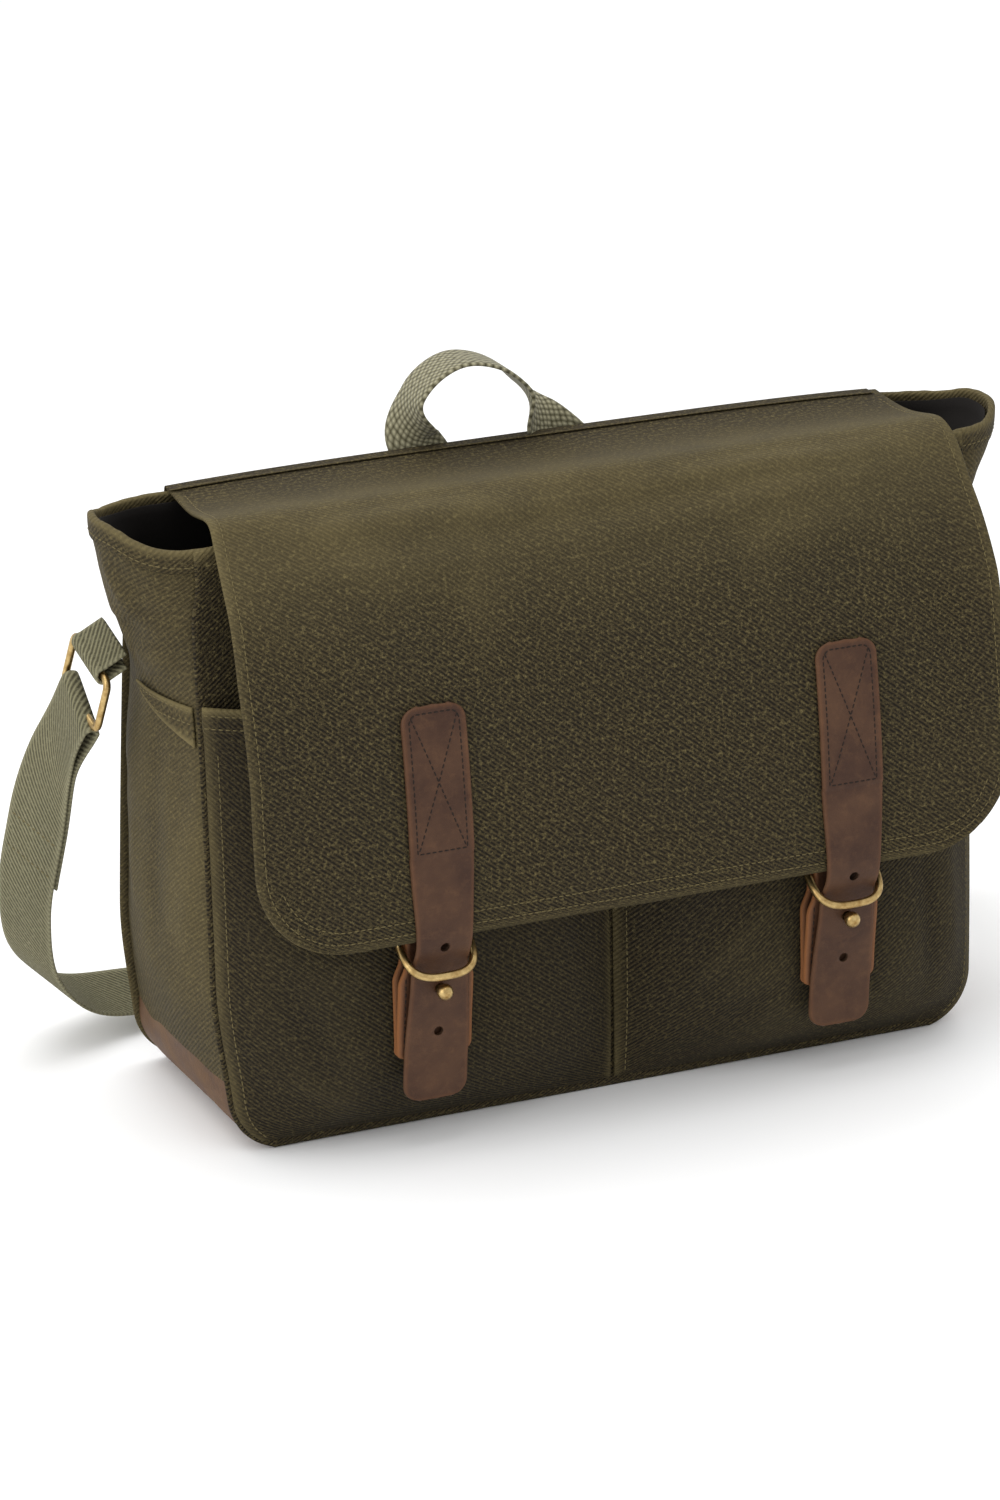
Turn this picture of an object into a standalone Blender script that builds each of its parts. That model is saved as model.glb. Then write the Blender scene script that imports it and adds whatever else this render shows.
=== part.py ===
"""Canvas messenger bag with a flap, two buckled leather straps, two front pockets,
a grab handle and a shoulder strap. Metres, X right, Y to the back, Z up, floor at Z = 0."""

import math

import bmesh
import bpy
import numpy as np
from mathutils import Matrix, Vector

# overall bag
BAG_WIDTH = 0.400
BAG_HEIGHT = 0.308
BASE_DEPTH = 0.126
MOUTH_FRONT = 0.040
MOUTH_BACK = 0.038
CORNER_RADIUS = 0.028
SIDE_BULGE = 0.008
WING_REACH = 0.029
WING_START = BAG_HEIGHT - 0.103

# sheet thicknesses and the gap kept between touching pieces
CANVAS = 0.0018
LINING = 0.0006
LEATHER = 0.0024
BOARD = 0.0025
WEBBING = 0.0020
GAP = 0.0003
LINING_SLACK = 0.0014

# leather base
BASE_RISE = 0.052

# pockets
POCKET_TOP = BAG_HEIGHT - 0.083
POCKET_BOTTOM = 0.006
POCKET_BULGE = 0.026
POCKET_SPACE = 0.003
EAR_LENGTH = 0.048
EAR_HEIGHT = 0.022

# flap: half width, slope of the hanging part against the length along it
FLAP_HALF_BACK = 0.188
FLAP_HALF_FRONT = 0.196
FLAP_CORNER = 0.045
FLAP_LENGTH = 0.2155
FLAP_SLOPE = [(0, 20), (0.005, 56), (0.015, 50), (0.030, 55), (0.060, 60), (0.085, 70), (0.105, 78),
              (0.140, 81), (0.213, 88)]
FLAP_AXIS_Y = MOUTH_BACK + 0.0005
FLAP_AXIS_Z = BAG_HEIGHT + 0.0011 + CANVAS + LINING
FOLD_AXIS_Y = 0.0015 - MOUTH_FRONT
FLAP_SPREAD = (BASE_DEPTH - 0.0215) / 0.1045
FLAP_DROP = (FLAP_AXIS_Z - 0.1130) / 0.1985
FOLD_SPACE = 0.0020

# closures: leather tab, D-ring, ball stud and strap
CLOSURE_X = 0.109
RING_Z = 0.3555 * BAG_HEIGHT
STRAP_TIP = RING_Z - 0.0825
STRAP_TOP = 0.7338 * BAG_HEIGHT
STRAP_SPLIT = 0.5065 * BAG_HEIGHT
STRAP_WIDE = 0.032
STRAP_WAIST = STRAP_WIDE - 0.0045
STRAP_CORNER = 0.008
STRAP_HOLE = 0.0030
HOLE_SPACING = 0.023
STUD_Z = RING_Z - 0.0235
STUD_BALL = 0.0040
STUD_NECK = 0.0022
STUD_FLANGE = 0.0045
STUD_SHANK = 0.0014
STUD_REACH = 0.0095
STUD_SPACE = 0.0019
RING_WIRE = 0.0020
RING_HALF = STRAP_WAIST / 2 + 0.00425
RING_DEPTH = 0.18 * BASE_DEPTH
RING_DROOP = 40
TAB_WIDE = STRAP_WIDE + 0.006
TAB_NECK = TAB_WIDE - 0.008
TAB_BOTTOM = RING_Z - 0.0605

# grab handle
HANDLE_WIDTH = 0.025
HANDLE_SPREAD = 0.044
HANDLE_AXIS_Z = BAG_HEIGHT - 0.019
HANDLE_SEAM = 0.030
HANDLE_ROUTE = [(-0.044, 0.000), (-0.048, 0.010), (-0.057, 0.023), (-0.059, 0.041), (-0.050, 0.054),
                (-0.034, 0.060), (-0.013, 0.052), (0.006, 0.035), (0.020, 0.022), (0.038, 0.011),
                (0.044, 0.000)]

# shoulder strap and its side rings
SWING_Y = 0.027
SWING_Z = BAG_HEIGHT - 0.079
SIDE_RING_X = BAG_WIDTH / 2 + 0.033
SIDE_RING_TILT = 25
SIDE_RING_LEAN = 12
SIDE_RING_HALF = 0.0222
SIDE_RING_DROP = 0.0270
SIDE_WIRE = 0.0019
SIDE_TAB_WIDTH = 0.032
SHOULDER_WIDTH = 0.038
FOLD_BACK_LEFT = 0.110
SLIDER_X = 0.095
SLIDER_LENGTH = 0.028
SLIDER_BAR = 0.0035
SLIDER_THICK = 0.0024
STRAP_ROUTE = [(1.2250, 0.085, 0.828), (1.2500, 0.166, 0.583), (1.2550, 0.223, 0.396),
               (1.2150, 0.280, 0.208), (1.0900, 0.348, 0.073), (0.8900, 0.405, 0.021),
               (0.5000, 0.429, 0.0042), (0.0, 0.431, 0.000)]
STRAP_LOW = 0.0100
STRAP_RISE = SWING_Z - SIDE_RING_DROP - STRAP_LOW

HALF = BAG_WIDTH / 2


def clear_scene():
    for item in list(bpy.data.objects):
        bpy.data.objects.remove(item, do_unlink=True)


def new_collection(name):
    made = bpy.data.collections.new(name)
    bpy.context.scene.collection.children.link(made)
    return made


def material(name, colour, roughness, metallic=0.0):
    made = bpy.data.materials.new(name)
    made.use_nodes = True
    shader = made.node_tree.nodes["Principled BSDF"]
    shader.inputs["Base Color"].default_value = (*colour, 1.0)
    shader.inputs["Roughness"].default_value = roughness
    shader.inputs["Metallic"].default_value = metallic
    made.diffuse_color = (*colour, 1.0)
    return made


def smooth_step(t):
    t = min(max(t, 0.0), 1.0)
    return t * t * (3 - 2 * t)


# shapes shared by the panels

def front_skin(z):
    """Outer face of the front panel at height z."""
    lean = BASE_DEPTH / 2 - MOUTH_FRONT
    return -(BASE_DEPTH / 2 - lean * max(z / BAG_HEIGHT, 0) ** 1.6)


def back_skin(z):
    """Outer face of the back panel at height z."""
    lean = BASE_DEPTH / 2 - MOUTH_BACK
    return BASE_DEPTH / 2 - lean * max(z / BAG_HEIGHT, 0) ** 1.6


def outline_half(z, inset):
    """Half width of the bag's outline at height z, moved in by inset, with round bottom corners."""
    if z >= CORNER_RADIUS:
        return HALF - inset
    radius = CORNER_RADIUS - inset
    drop = CORNER_RADIUS - z
    return HALF - CORNER_RADIUS + math.sqrt(max(radius * radius - drop * drop, 0.0))


def side_bulge(z):
    """How far a gusset stands out beyond the outline at height z: a low belly, then the wing."""
    belly = SIDE_BULGE * smooth_step(z / 0.080)
    return belly + WING_REACH * smooth_step((z - WING_START) / (BAG_HEIGHT - WING_START))


def bulge_power(z):
    """Roundness of a gusset across its width: 2 is a flat parabola, 1 is a half ellipse."""
    return 2.0 - smooth_step((z - WING_START) / (BAG_HEIGHT - WING_START))


def gusset_half(z, inset):
    """Half depth of the side wall between the panels at height z, inside their inner faces."""
    return (back_skin(z) - front_skin(z)) / 2 - CANVAS - GAP - inset


def side_point(x, z, turn, inset):
    """Point on the side wall; turn runs from 0 at the front seam to pi at the back seam."""
    middle = (front_skin(z) + back_skin(z)) / 2
    out = side_bulge(z) * math.sin(turn) ** bulge_power(z)
    y = middle - gusset_half(z, inset) * math.cos(turn)
    return Vector((x + out, y, z))


# ways of making a piece

def finish(made, paint, collection, smooth=True):
    made.data.materials.clear()
    made.data.materials.append(paint)
    collection.objects.link(made)
    if smooth and made.type == "MESH":
        for face in made.data.polygons:
            face.use_smooth = True
    return made


def sheet(name, place, columns, rows, thickness, paint, collection):
    """Open grid moved onto a surface by place(u, v), u and v from 0 to 1, and thickened evenly."""
    shape = bmesh.new()
    bmesh.ops.create_grid(shape, x_segments=columns, y_segments=rows, size=0.5)
    for vertex in shape.verts:
        vertex.co = place(vertex.co.x + 0.5, vertex.co.y + 0.5)
    mesh = bpy.data.meshes.new(name)
    shape.to_mesh(mesh)
    shape.free()
    made = bpy.data.objects.new(name, mesh)
    thicken(made, thickness)
    return finish(made, paint, collection)


def thicken(made, thickness):
    solid = made.modifiers.new("Thickness", "SOLIDIFY")
    solid.thickness = thickness
    solid.offset = 0.0
    solid.use_even_offset = True
    solid.use_quality_normals = True


def wire(name, points, radius, paint, collection, closed=True):
    """Round wire along a path."""
    path = bpy.data.curves.new(name, "CURVE")
    path.dimensions = "3D"
    path.bevel_depth = radius
    path.bevel_resolution = 2
    path.use_fill_caps = not closed
    spline = path.splines.new("POLY")
    spline.points.add(len(points) - 1)
    for knot, point in zip(spline.points, points):
        knot.co = (*point, 1.0)
    spline.use_cyclic_u = closed
    made = bpy.data.objects.new(name, path)
    return finish(made, paint, collection)


def turned(name, profile, steps, paint, collection):
    """Piece turned about its own Z axis from (radius, height) points."""
    mesh = bpy.data.meshes.new(name)
    edges = [(n, n + 1) for n in range(len(profile) - 1)]
    mesh.from_pydata([(radius, 0.0, height) for radius, height in profile], edges, [])
    made = bpy.data.objects.new(name, mesh)
    screw = made.modifiers.new("Turn", "SCREW")
    screw.steps = steps
    screw.render_steps = steps
    screw.use_merge_vertices = True
    screw.merge_threshold = 0.00001
    screw.use_normal_flip = True
    return finish(made, paint, collection)


def cutter_rod(name, radius, length, places, collection):
    """Rods along Y at the given places, as one cutting tool."""
    shape = bmesh.new()
    for place in places:
        turn = Matrix.Translation(place) @ Matrix.Rotation(math.pi / 2, 4, "X")
        bmesh.ops.create_cone(shape, cap_ends=True, segments=16, radius1=radius, radius2=radius,
                              depth=length, matrix=turn)
    mesh = bpy.data.meshes.new(name)
    shape.to_mesh(mesh)
    shape.free()
    made = bpy.data.objects.new(name, mesh)
    made.display_type = "WIRE"
    made.hide_render = True
    collection.objects.link(made)
    return made


def cut(made, tool):
    hole = made.modifiers.new("Holes", "BOOLEAN")
    hole.operation = "DIFFERENCE"
    hole.solver = "EXACT"
    hole.object = tool


def round_end(distance, corner):
    """How much narrower each side is at a distance from a rounded end."""
    if distance >= corner:
        return 0.0
    return corner - math.sqrt(max(corner * corner - (corner - distance) ** 2, 0.0))


def along(points, share):
    """Point at a share of the length of a path of points."""
    points = [Vector(point) for point in points]
    lengths = [(b - a).length for a, b in zip(points, points[1:])]
    left = share * sum(lengths)
    for start, end, length in zip(points, points[1:], lengths):
        if left <= length or end is points[-1]:
            return start.lerp(end, min(left / length, 1.0))
        left -= length


def smooth_path(points, per_span):
    """Catmull-Rom curve through the points."""
    knots = [Vector(point) for point in points]
    knots = [knots[0] * 2 - knots[1]] + knots + [knots[-1] * 2 - knots[-2]]
    path = []
    for n in range(1, len(knots) - 2):
        a, b, c, d = knots[n - 1 : n + 3]
        for k in range(per_span):
            t = k / per_span
            path.append(0.5 * (2 * b + (c - a) * t + (2 * a - 5 * b + 4 * c - d) * t * t
                               + (3 * b - a - 3 * c + d) * t ** 3))
    path.append(knots[-2].copy())
    return path


# body

def panel(name, skin, inward, paint, collection):
    """Front or back panel: follows the bag's outline and its skin line."""
    bottom = 0.0008

    def place(u, v):
        z = bottom + (BAG_HEIGHT - bottom) * v ** 1.6
        half = outline_half(z, 0.0)
        return Vector(((2 * u - 1) * half, skin(z) + inward * CANVAS / 2, z))

    return sheet(name, place, 8, 16, CANVAS, paint, collection)


def strip_path(length, inset, top):
    """Point of the bag's side, corner and base outline at a length below the given top."""
    radius = CORNER_RADIUS - inset
    straight = top - CORNER_RADIUS
    arc = radius * math.pi / 2
    if length < straight:
        return HALF - inset, top - length
    if length < straight + arc:
        turn = (length - straight) / radius
        return (HALF - CORNER_RADIUS + radius * math.cos(turn),
                CORNER_RADIUS - radius * math.sin(turn))
    return HALF - CORNER_RADIUS - (length - straight - arc), inset


def gusset(name, side, inset, paint, collection):
    total = BAG_HEIGHT - CORNER_RADIUS + (CORNER_RADIUS - inset) * math.pi / 2 - GAP / 2

    def place(u, v):
        x, z = strip_path(total * (1 - (1 - v) ** 1.6), inset, BAG_HEIGHT)
        point = side_point(x, z, math.pi * u, CANVAS / 2)
        return Vector((side * point.x, point.y, point.z))

    return sheet(name, place, 14, 26, CANVAS, paint, collection)


def leather_base(paint, collection):
    inset = LEATHER / 2
    arc = (CORNER_RADIUS - inset) * math.pi / 2
    half_length = BASE_RISE - CORNER_RADIUS + arc + HALF - CORNER_RADIUS

    def place(u, v):
        side = 1 if v >= 0.5 else -1
        spread = 1 - (2 * abs(v - 0.5))
        x, z = strip_path(half_length * spread ** 1.5, inset, BASE_RISE)
        point = side_point(x, z, math.pi * u, CANVAS / 2)
        return Vector((side * point.x, point.y, point.z))

    return sheet("leather_base", place, 10, 48, LEATHER, paint, collection)


def bottom_panel(inset, paint, collection):
    half = HALF - CORNER_RADIUS - GAP / 2

    def place(u, v):
        return Vector(((2 * v - 1) * half, (2 * u - 1) * gusset_half(inset, CANVAS / 2), inset))

    return sheet("bottom_panel", place, 2, 2, CANVAS, paint, collection)


def base_board(z, paint, collection):
    made_size = (2 * (HALF - CORNER_RADIUS), 2 * (gusset_half(0.0, CANVAS) - 0.002), BOARD)
    shape = bmesh.new()
    bmesh.ops.create_cube(shape, size=1.0, matrix=Matrix.Diagonal((*made_size, 1.0)))
    mesh = bpy.data.meshes.new("base_board")
    shape.to_mesh(mesh)
    shape.free()
    made = bpy.data.objects.new("base_board", mesh)
    made.location.z = z
    bevel = made.modifiers.new("Edges", "BEVEL")
    bevel.width = BOARD * 0.2
    bevel.segments = 1
    return finish(made, paint, collection, smooth=False)


def lining(inset, bottom, paint, collection):
    """Open-topped inner bag, a ring of points at each height and a flat floor."""
    extra = CANVAS / 2 + LINING_SLACK + LINING / 2
    side_steps, heights = 8, 16
    shape = bmesh.new()
    rings = []
    for row in range(heights + 1):
        z = bottom + (BAG_HEIGHT - 0.0015 - bottom) * (row / heights) ** 1.5
        half = outline_half(z, inset)
        ring = []
        for side in (1, -1):
            for step in range(side_steps + 1):
                turn = math.pi * step / side_steps
                if side < 0:
                    turn = math.pi - turn
                point = side_point(half, z, turn, CANVAS / 2 + extra)
                ring.append(shape.verts.new((side * point.x, point.y, z)))
        rings.append(ring)
    count = len(rings[0])
    for low, high in zip(rings, rings[1:]):
        for n in range(count):
            shape.faces.new((low[n], low[(n + 1) % count], high[(n + 1) % count], high[n]))
    shape.faces.new(list(reversed(rings[0])))
    bmesh.ops.recalc_face_normals(shape, faces=shape.faces)
    mesh = bpy.data.meshes.new("lining")
    shape.to_mesh(mesh)
    shape.free()
    made = bpy.data.objects.new("lining", mesh)
    thicken(made, LINING)
    return finish(made, paint, collection)


# pockets

def pocket_rise(z):
    """Share of the full bulge at height z: from nothing at the bottom seam."""
    share = (z - POCKET_BOTTOM) / (POCKET_TOP - POCKET_BOTTOM)
    low = 1 - max(1 - share / 0.25, 0.0) ** 2
    return low * (1 - 0.15 * share * share)


def pocket_middle(x_share, z):
    """Middle of the pocket's cloth; x_share runs from -1 to 1 across the pocket."""
    swell = POCKET_BULGE * (1 - x_share ** 4) * pocket_rise(z)
    return front_skin(z) - GAP - CANVAS / 2 - swell


def pocket(name, side, paint, collection):
    def place(u, v):
        z = POCKET_BOTTOM + (POCKET_TOP - POCKET_BOTTOM) * v ** 1.3
        inner = POCKET_SPACE / 2
        outer = outline_half(z, 0.002)
        share = math.sin(math.pi * (u - 0.5))
        x = inner + (outer - inner) * (share + 1) / 2
        return Vector((side * x, pocket_middle(share, z), z))

    return sheet(name, place, 12, 12, CANVAS, paint, collection)


def pocket_ear(name, side, inset, paint, collection):
    """Three-cornered end of the pocket's hem, laid on the gusset."""
    def place(u, v):
        top = POCKET_TOP - 0.002
        z = top - v * (0.002 + (EAR_HEIGHT - 0.002) * (1 - u))
        ahead = gusset_half(z, CANVAS / 2) - 0.004
        reach = (0.004 + EAR_LENGTH * u) / (ahead + 0.004)
        turn = math.acos(min(max(1 - reach, -1.0), 1.0))
        point = side_point(HALF - inset, z, turn, CANVAS / 2)
        lift = CANVAS + GAP
        return Vector((side * (point.x + lift), point.y, point.z))

    return sheet(name, place, 10, 3, CANVAS * 0.8, paint, collection)


# flap

def flap_line(offset):
    """(y, z) points down the hanging part of the flap, moved outwards by offset from its middle."""
    steps = 60
    lengths, slopes = zip(*FLAP_SLOPE)
    y, z = FOLD_AXIS_Y, FLAP_AXIS_Z
    points = []
    for n in range(steps + 1):
        length = FLAP_LENGTH * n / steps
        slope = math.radians(float(np.interp(length, lengths, slopes)))
        ahead, down = FLAP_SPREAD * math.cos(slope), FLAP_DROP * math.sin(slope)
        size = math.hypot(ahead, down)
        points.append((length, y - offset * down / size, z + offset * ahead / size))
        y -= ahead * FLAP_LENGTH / steps
        z -= down * FLAP_LENGTH / steps
    return points


def flap_at_height(z, offset):
    """(y, z) of the flap's line where it passes a height."""
    _, ys, zs = zip(*flap_line(offset))
    return float(np.interp(-z, [-value for value in zs], ys)), z


def flap_top(name, offset, thickness, paint, collection):
    start, end = FLAP_AXIS_Y, FOLD_AXIS_Y + FOLD_SPACE

    def place(u, v):
        half = FLAP_HALF_BACK + (FLAP_HALF_FRONT - FLAP_HALF_BACK) * 0.4 * v
        return Vector(((2 * u - 1) * half, start + (end - start) * v, FLAP_AXIS_Z + offset))

    return sheet(name, place, 6, 3, thickness, paint, collection)


def flap_front(name, offset, thickness, short, paint, collection):
    length = FLAP_LENGTH - short
    line = flap_line(offset)

    def place(u, v):
        down = length * (v if v < 0.5 else 0.5 + 0.5 * math.sin(math.pi * (v - 0.5)))
        y = float(np.interp(down, [p[0] for p in line], [p[1] for p in line]))
        z = float(np.interp(down, [p[0] for p in line], [p[2] for p in line]))
        widen = min(0.4 + 0.6 * down / 0.08, 1.0)
        half = FLAP_HALF_BACK + (FLAP_HALF_FRONT - FLAP_HALF_BACK) * widen - short
        half -= round_end(length - down, FLAP_CORNER)
        return Vector(((2 * u - 1) * half, y, z))

    return sheet(name, place, 8, 26, thickness, paint, collection)


# closures

def strap_half(z):
    """Half width of a closure strap at height z: a slight waist where the D-ring holds it."""
    waist = 1 - smooth_step(abs(z - RING_Z + 0.004) / 0.055)
    return (STRAP_WIDE - (STRAP_WIDE - STRAP_WAIST) * waist) / 2


def closure_front():
    """(y, z) middle line of the free end of a closure strap, from the flap down to its tip."""
    off = CANVAS / 2 + GAP + LEATHER / 2
    split = flap_at_height(STRAP_SPLIT - GAP, off)
    low = flap_at_height(RING_Z + 0.004, off + 0.0004)
    stud = stud_seat() - STUD_SPACE - LEATHER / 2
    middle = flap_at_height((STRAP_SPLIT + RING_Z) / 2 + 0.012, off)
    clear = LEATHER / 2 + 3 * GAP
    foot = min(stud + 0.0042, tab_face(TAB_BOTTOM) - clear)
    return [split, middle, low, (stud - 0.0008, RING_Z - 0.0115), (stud, STUD_Z),
            (min(stud + 0.0022, tab_face(STUD_Z - 0.022) - clear), STUD_Z - 0.022),
            (foot, STUD_Z - 0.042), (foot + 0.0004, STRAP_TIP)]


def strap_sewn(name, side, paint, collection):
    off = CANVAS / 2 + GAP + LEATHER / 2
    line = [flap_at_height(STRAP_TOP + (STRAP_SPLIT - STRAP_TOP) * n / 16, off) for n in range(17)]

    def place(u, v):
        point = along([(0.0, y, z) for y, z in line], 0.5 * v + 0.5 * v * v)
        half = strap_half(point.z) - round_end(STRAP_TOP - point.z, STRAP_CORNER)
        return Vector((side * CLOSURE_X + (2 * u - 1) * half, point.y, point.z))

    return sheet(name, place, 4, 16, LEATHER, paint, collection)


def strap_end(name, side, paint, collection, tools):
    line = smooth_path([(0.0, y, z) for y, z in closure_front()], 5)

    def place(u, v):
        point = along(line, 1 - (1 - v) ** 1.4)
        half = strap_half(point.z) - round_end(point.z - STRAP_TIP, STRAP_CORNER)
        return Vector((side * CLOSURE_X + (2 * u - 1) * half, point.y, point.z))

    made = sheet(name, place, 4, 26, LEATHER, paint, collection)
    seat = stud_seat() - 0.004
    holes = [(side * CLOSURE_X, seat, STUD_Z + HOLE_SPACING * n) for n in (-1, 0, 1)]
    cut(made, cutter_rod(name + "_holes", STRAP_HOLE, 0.030, holes, tools))
    return made


def tab_inner(z):
    """Middle of the tab's inner layer, lying on the pocket."""
    share = 2 * (CLOSURE_X - POCKET_SPACE / 2) / (HALF - 0.002 - POCKET_SPACE / 2) - 1
    return pocket_middle(share, z) - CANVAS / 2 - GAP - LEATHER / 2 - 0.0004


def tab_radius():
    return RING_WIRE + GAP + LEATHER / 2


def ring_centre():
    """(y, z) of the D-ring's bar."""
    return tab_inner(RING_Z) - tab_radius(), RING_Z


def tab_space(z):
    """Distance between the tab's two layers at height z: sewn together at the bottom."""
    closed = LEATHER + GAP
    wide = 2 * tab_radius()
    return closed + (wide - closed) * smooth_step((z - TAB_BOTTOM - 0.006) / 0.040)


def tab_face(z):
    """Front face of the tab's outer layer."""
    return tab_inner(z) - tab_space(z) - LEATHER / 2


def stud_seat():
    return tab_face(STUD_Z)


def closure_tab(name, side, paint, collection, tools):
    """Leather folded round the D-ring's bar, its two layers sewn to the pocket below."""
    rows = [TAB_BOTTOM + (RING_Z - TAB_BOTTOM) * n / 8 for n in range(9)]
    line = [(0.0, tab_inner(z), z) for z in rows]
    centre_y, centre_z = ring_centre()
    for n in range(1, 8):
        turn = math.pi * n / 8
        line.append((0.0, centre_y + tab_radius() * math.cos(turn),
                     centre_z + tab_radius() * math.sin(turn)))
    line += [(0.0, tab_inner(z) - tab_space(z), z) for z in reversed(rows)]
    count = len(line) - 1

    def place(u, v):
        point = Vector(line[round(v * count)])
        neck = smooth_step((point.z - RING_Z + 0.022) / 0.012)
        half = (TAB_WIDE - (TAB_WIDE - TAB_NECK) * neck) / 2
        return Vector((side * CLOSURE_X + (2 * u - 1) * half, point.y, point.z))

    made = sheet(name, place, 2, count, LEATHER, paint, collection)
    hole = (side * CLOSURE_X, tab_inner(STUD_Z) - tab_space(STUD_Z) - 0.001, STUD_Z)
    cut(made, cutter_rod(name + "_hole", STUD_SHANK + GAP, 0.007, [hole], tools))
    return made


def d_ring(name, side, paint, collection):
    """Wire D: a straight bar in the tab, a round bow in front of the strap."""
    corner = 0.004
    points = []
    for n in range(5):
        turn = math.pi / 2 * n / 4
        points.append((RING_HALF - corner + corner * math.sin(turn), corner - corner * math.cos(turn)))
    for n in range(1, 16):
        turn = math.pi * n / 16
        wide, deep = (math.copysign(abs(value) ** 0.66, value) for value in (math.cos(turn), math.sin(turn)))
        points.append((RING_HALF * wide, corner + (RING_DEPTH - corner) * deep))
    for n in range(5):
        turn = math.pi / 2 * (1 - n / 4)
        points.append((-RING_HALF + corner - corner * math.sin(turn), corner - corner * math.cos(turn)))
    made = wire(name, [(x, -depth, 0.0) for x, depth in points], RING_WIRE, paint, collection)
    centre_y, centre_z = ring_centre()
    made.location = (side * CLOSURE_X, centre_y, centre_z)
    made.rotation_euler.x = math.radians(RING_DROOP)
    return made


def stud(name, side, paint, collection):
    """Ball stud turned in brass, its flange on the tab, its ball in front of the strap."""
    middle = STUD_REACH
    low = math.asin(STUD_NECK / STUD_BALL)
    profile = [(0.0, 0.0), (STUD_FLANGE, 0.0), (STUD_FLANGE, 0.0010), (STUD_NECK, 0.0014)]
    for n in range(9):
        turn = low + (math.pi - low) * n / 8
        profile.append((STUD_BALL * math.sin(turn), middle - STUD_BALL * math.cos(turn)))
    profile[-1] = (0.0, middle + STUD_BALL)
    made = turned(name, profile, 20, paint, collection)
    made.location = (side * CLOSURE_X, stud_seat() - GAP, STUD_Z)
    made.rotation_euler.x = math.pi / 2
    return made


def stud_screw(name, side, paint, collection):
    """Screw that holds the stud from behind the tab's outer layer."""
    profile = [(0.0, 0.0), (STUD_FLANGE - 0.0010, 0.0), (STUD_FLANGE - 0.0010, 0.0010),
               (STUD_SHANK, 0.0010), (STUD_SHANK, 0.0010 + LEATHER), (0.0, 0.0010 + LEATHER)]
    made = turned(name, profile, 20, paint, collection)
    made.location = (side * CLOSURE_X, stud_seat() + LEATHER + GAP + 0.0010, STUD_Z)
    made.rotation_euler.x = math.pi / 2
    return made


# grab handle

def handle_y():
    return back_skin(HANDLE_AXIS_Z) + GAP + WEBBING / 2


def handle_end(name, side, paint, collection):
    """End of the handle's webbing sewn flat to the back panel."""
    top = HANDLE_AXIS_Z - WEBBING / 2 - GAP

    def place(u, v):
        z = top - HANDLE_SEAM * v
        x = side * HANDLE_SPREAD + (2 * u - 1) * HANDLE_WIDTH / 2
        return Vector((x, back_skin(z) + GAP + WEBBING / 2, z))

    return sheet(name, place, 2, 3, WEBBING, paint, collection)


def grab_handle(paint, collection):
    """Webbing arch that turns a quarter turn in each leg, so its flat faces down at the top."""
    start, end = HANDLE_ROUTE[0], HANDLE_ROUTE[-1]
    spread = 2 * HANDLE_SPREAD / (end[0] - start[0])
    path = smooth_path([(x * spread, handle_y(), HANDLE_AXIS_Z + rise) for x, rise in HANDLE_ROUTE], 5)
    count = len(path) - 1

    def place(u, v):
        n = round(v * count)
        point = path[n]
        flow = (path[min(n + 1, count)] - path[max(n - 1, 0)]).normalized()
        side = 1 if v < 0.5 else -1
        twist = math.pi / 2 * smooth_step((point.z - BAG_HEIGHT - 0.012) / 0.028)
        deep = Vector((0.0, 1.0, 0.0))
        flat = flow.cross(deep) * -side
        level = smooth_step((point.z - HANDLE_AXIS_Z - 0.004) / 0.016)
        flat = Vector((1.0, 0.0, 0.0)).lerp(flat, level).normalized()
        wide = deep * math.sin(twist) + flat * math.cos(twist)
        return point + wide * (u - 0.5) * HANDLE_WIDTH

    made = sheet("grab_handle", place, 2, count, WEBBING, paint, collection)
    return hang(made, (0.0, handle_y() + WEBBING / 2 + GAP, HANDLE_AXIS_Z))


# shoulder strap

def side_frame(side):
    """Directions of a side ring: along its bars, down its legs."""
    tilt, lean = math.radians(SIDE_RING_TILT), math.radians(SIDE_RING_LEAN)
    bars = Vector((0.0, math.cos(tilt), math.sin(tilt)))
    down = Vector((side * math.sin(lean), math.sin(tilt) * math.cos(lean),
                   -math.cos(tilt) * math.cos(lean)))
    return bars, down


def side_ring(name, side, paint, collection):
    bars, down = side_frame(side)
    top = Vector((side * SIDE_RING_X, SWING_Y, SWING_Z))
    corner = 0.004
    points = []
    corners = [(1, 0, 0), (1, 1, 90), (-1, 1, 180), (-1, 0, 270)]
    for sign, low, first in corners:
        centre = (sign * (SIDE_RING_HALF - corner),
                  corner + low * (SIDE_RING_DROP - 2 * corner))
        for n in range(5):
            turn = math.radians(first - 90 + 90 * n / 4)
            points.append(top + bars * (centre[0] + corner * math.cos(turn))
                          + down * (centre[1] + corner * math.sin(turn)))
    made = wire(name, points, SIDE_WIRE, paint, collection)
    return made


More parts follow.
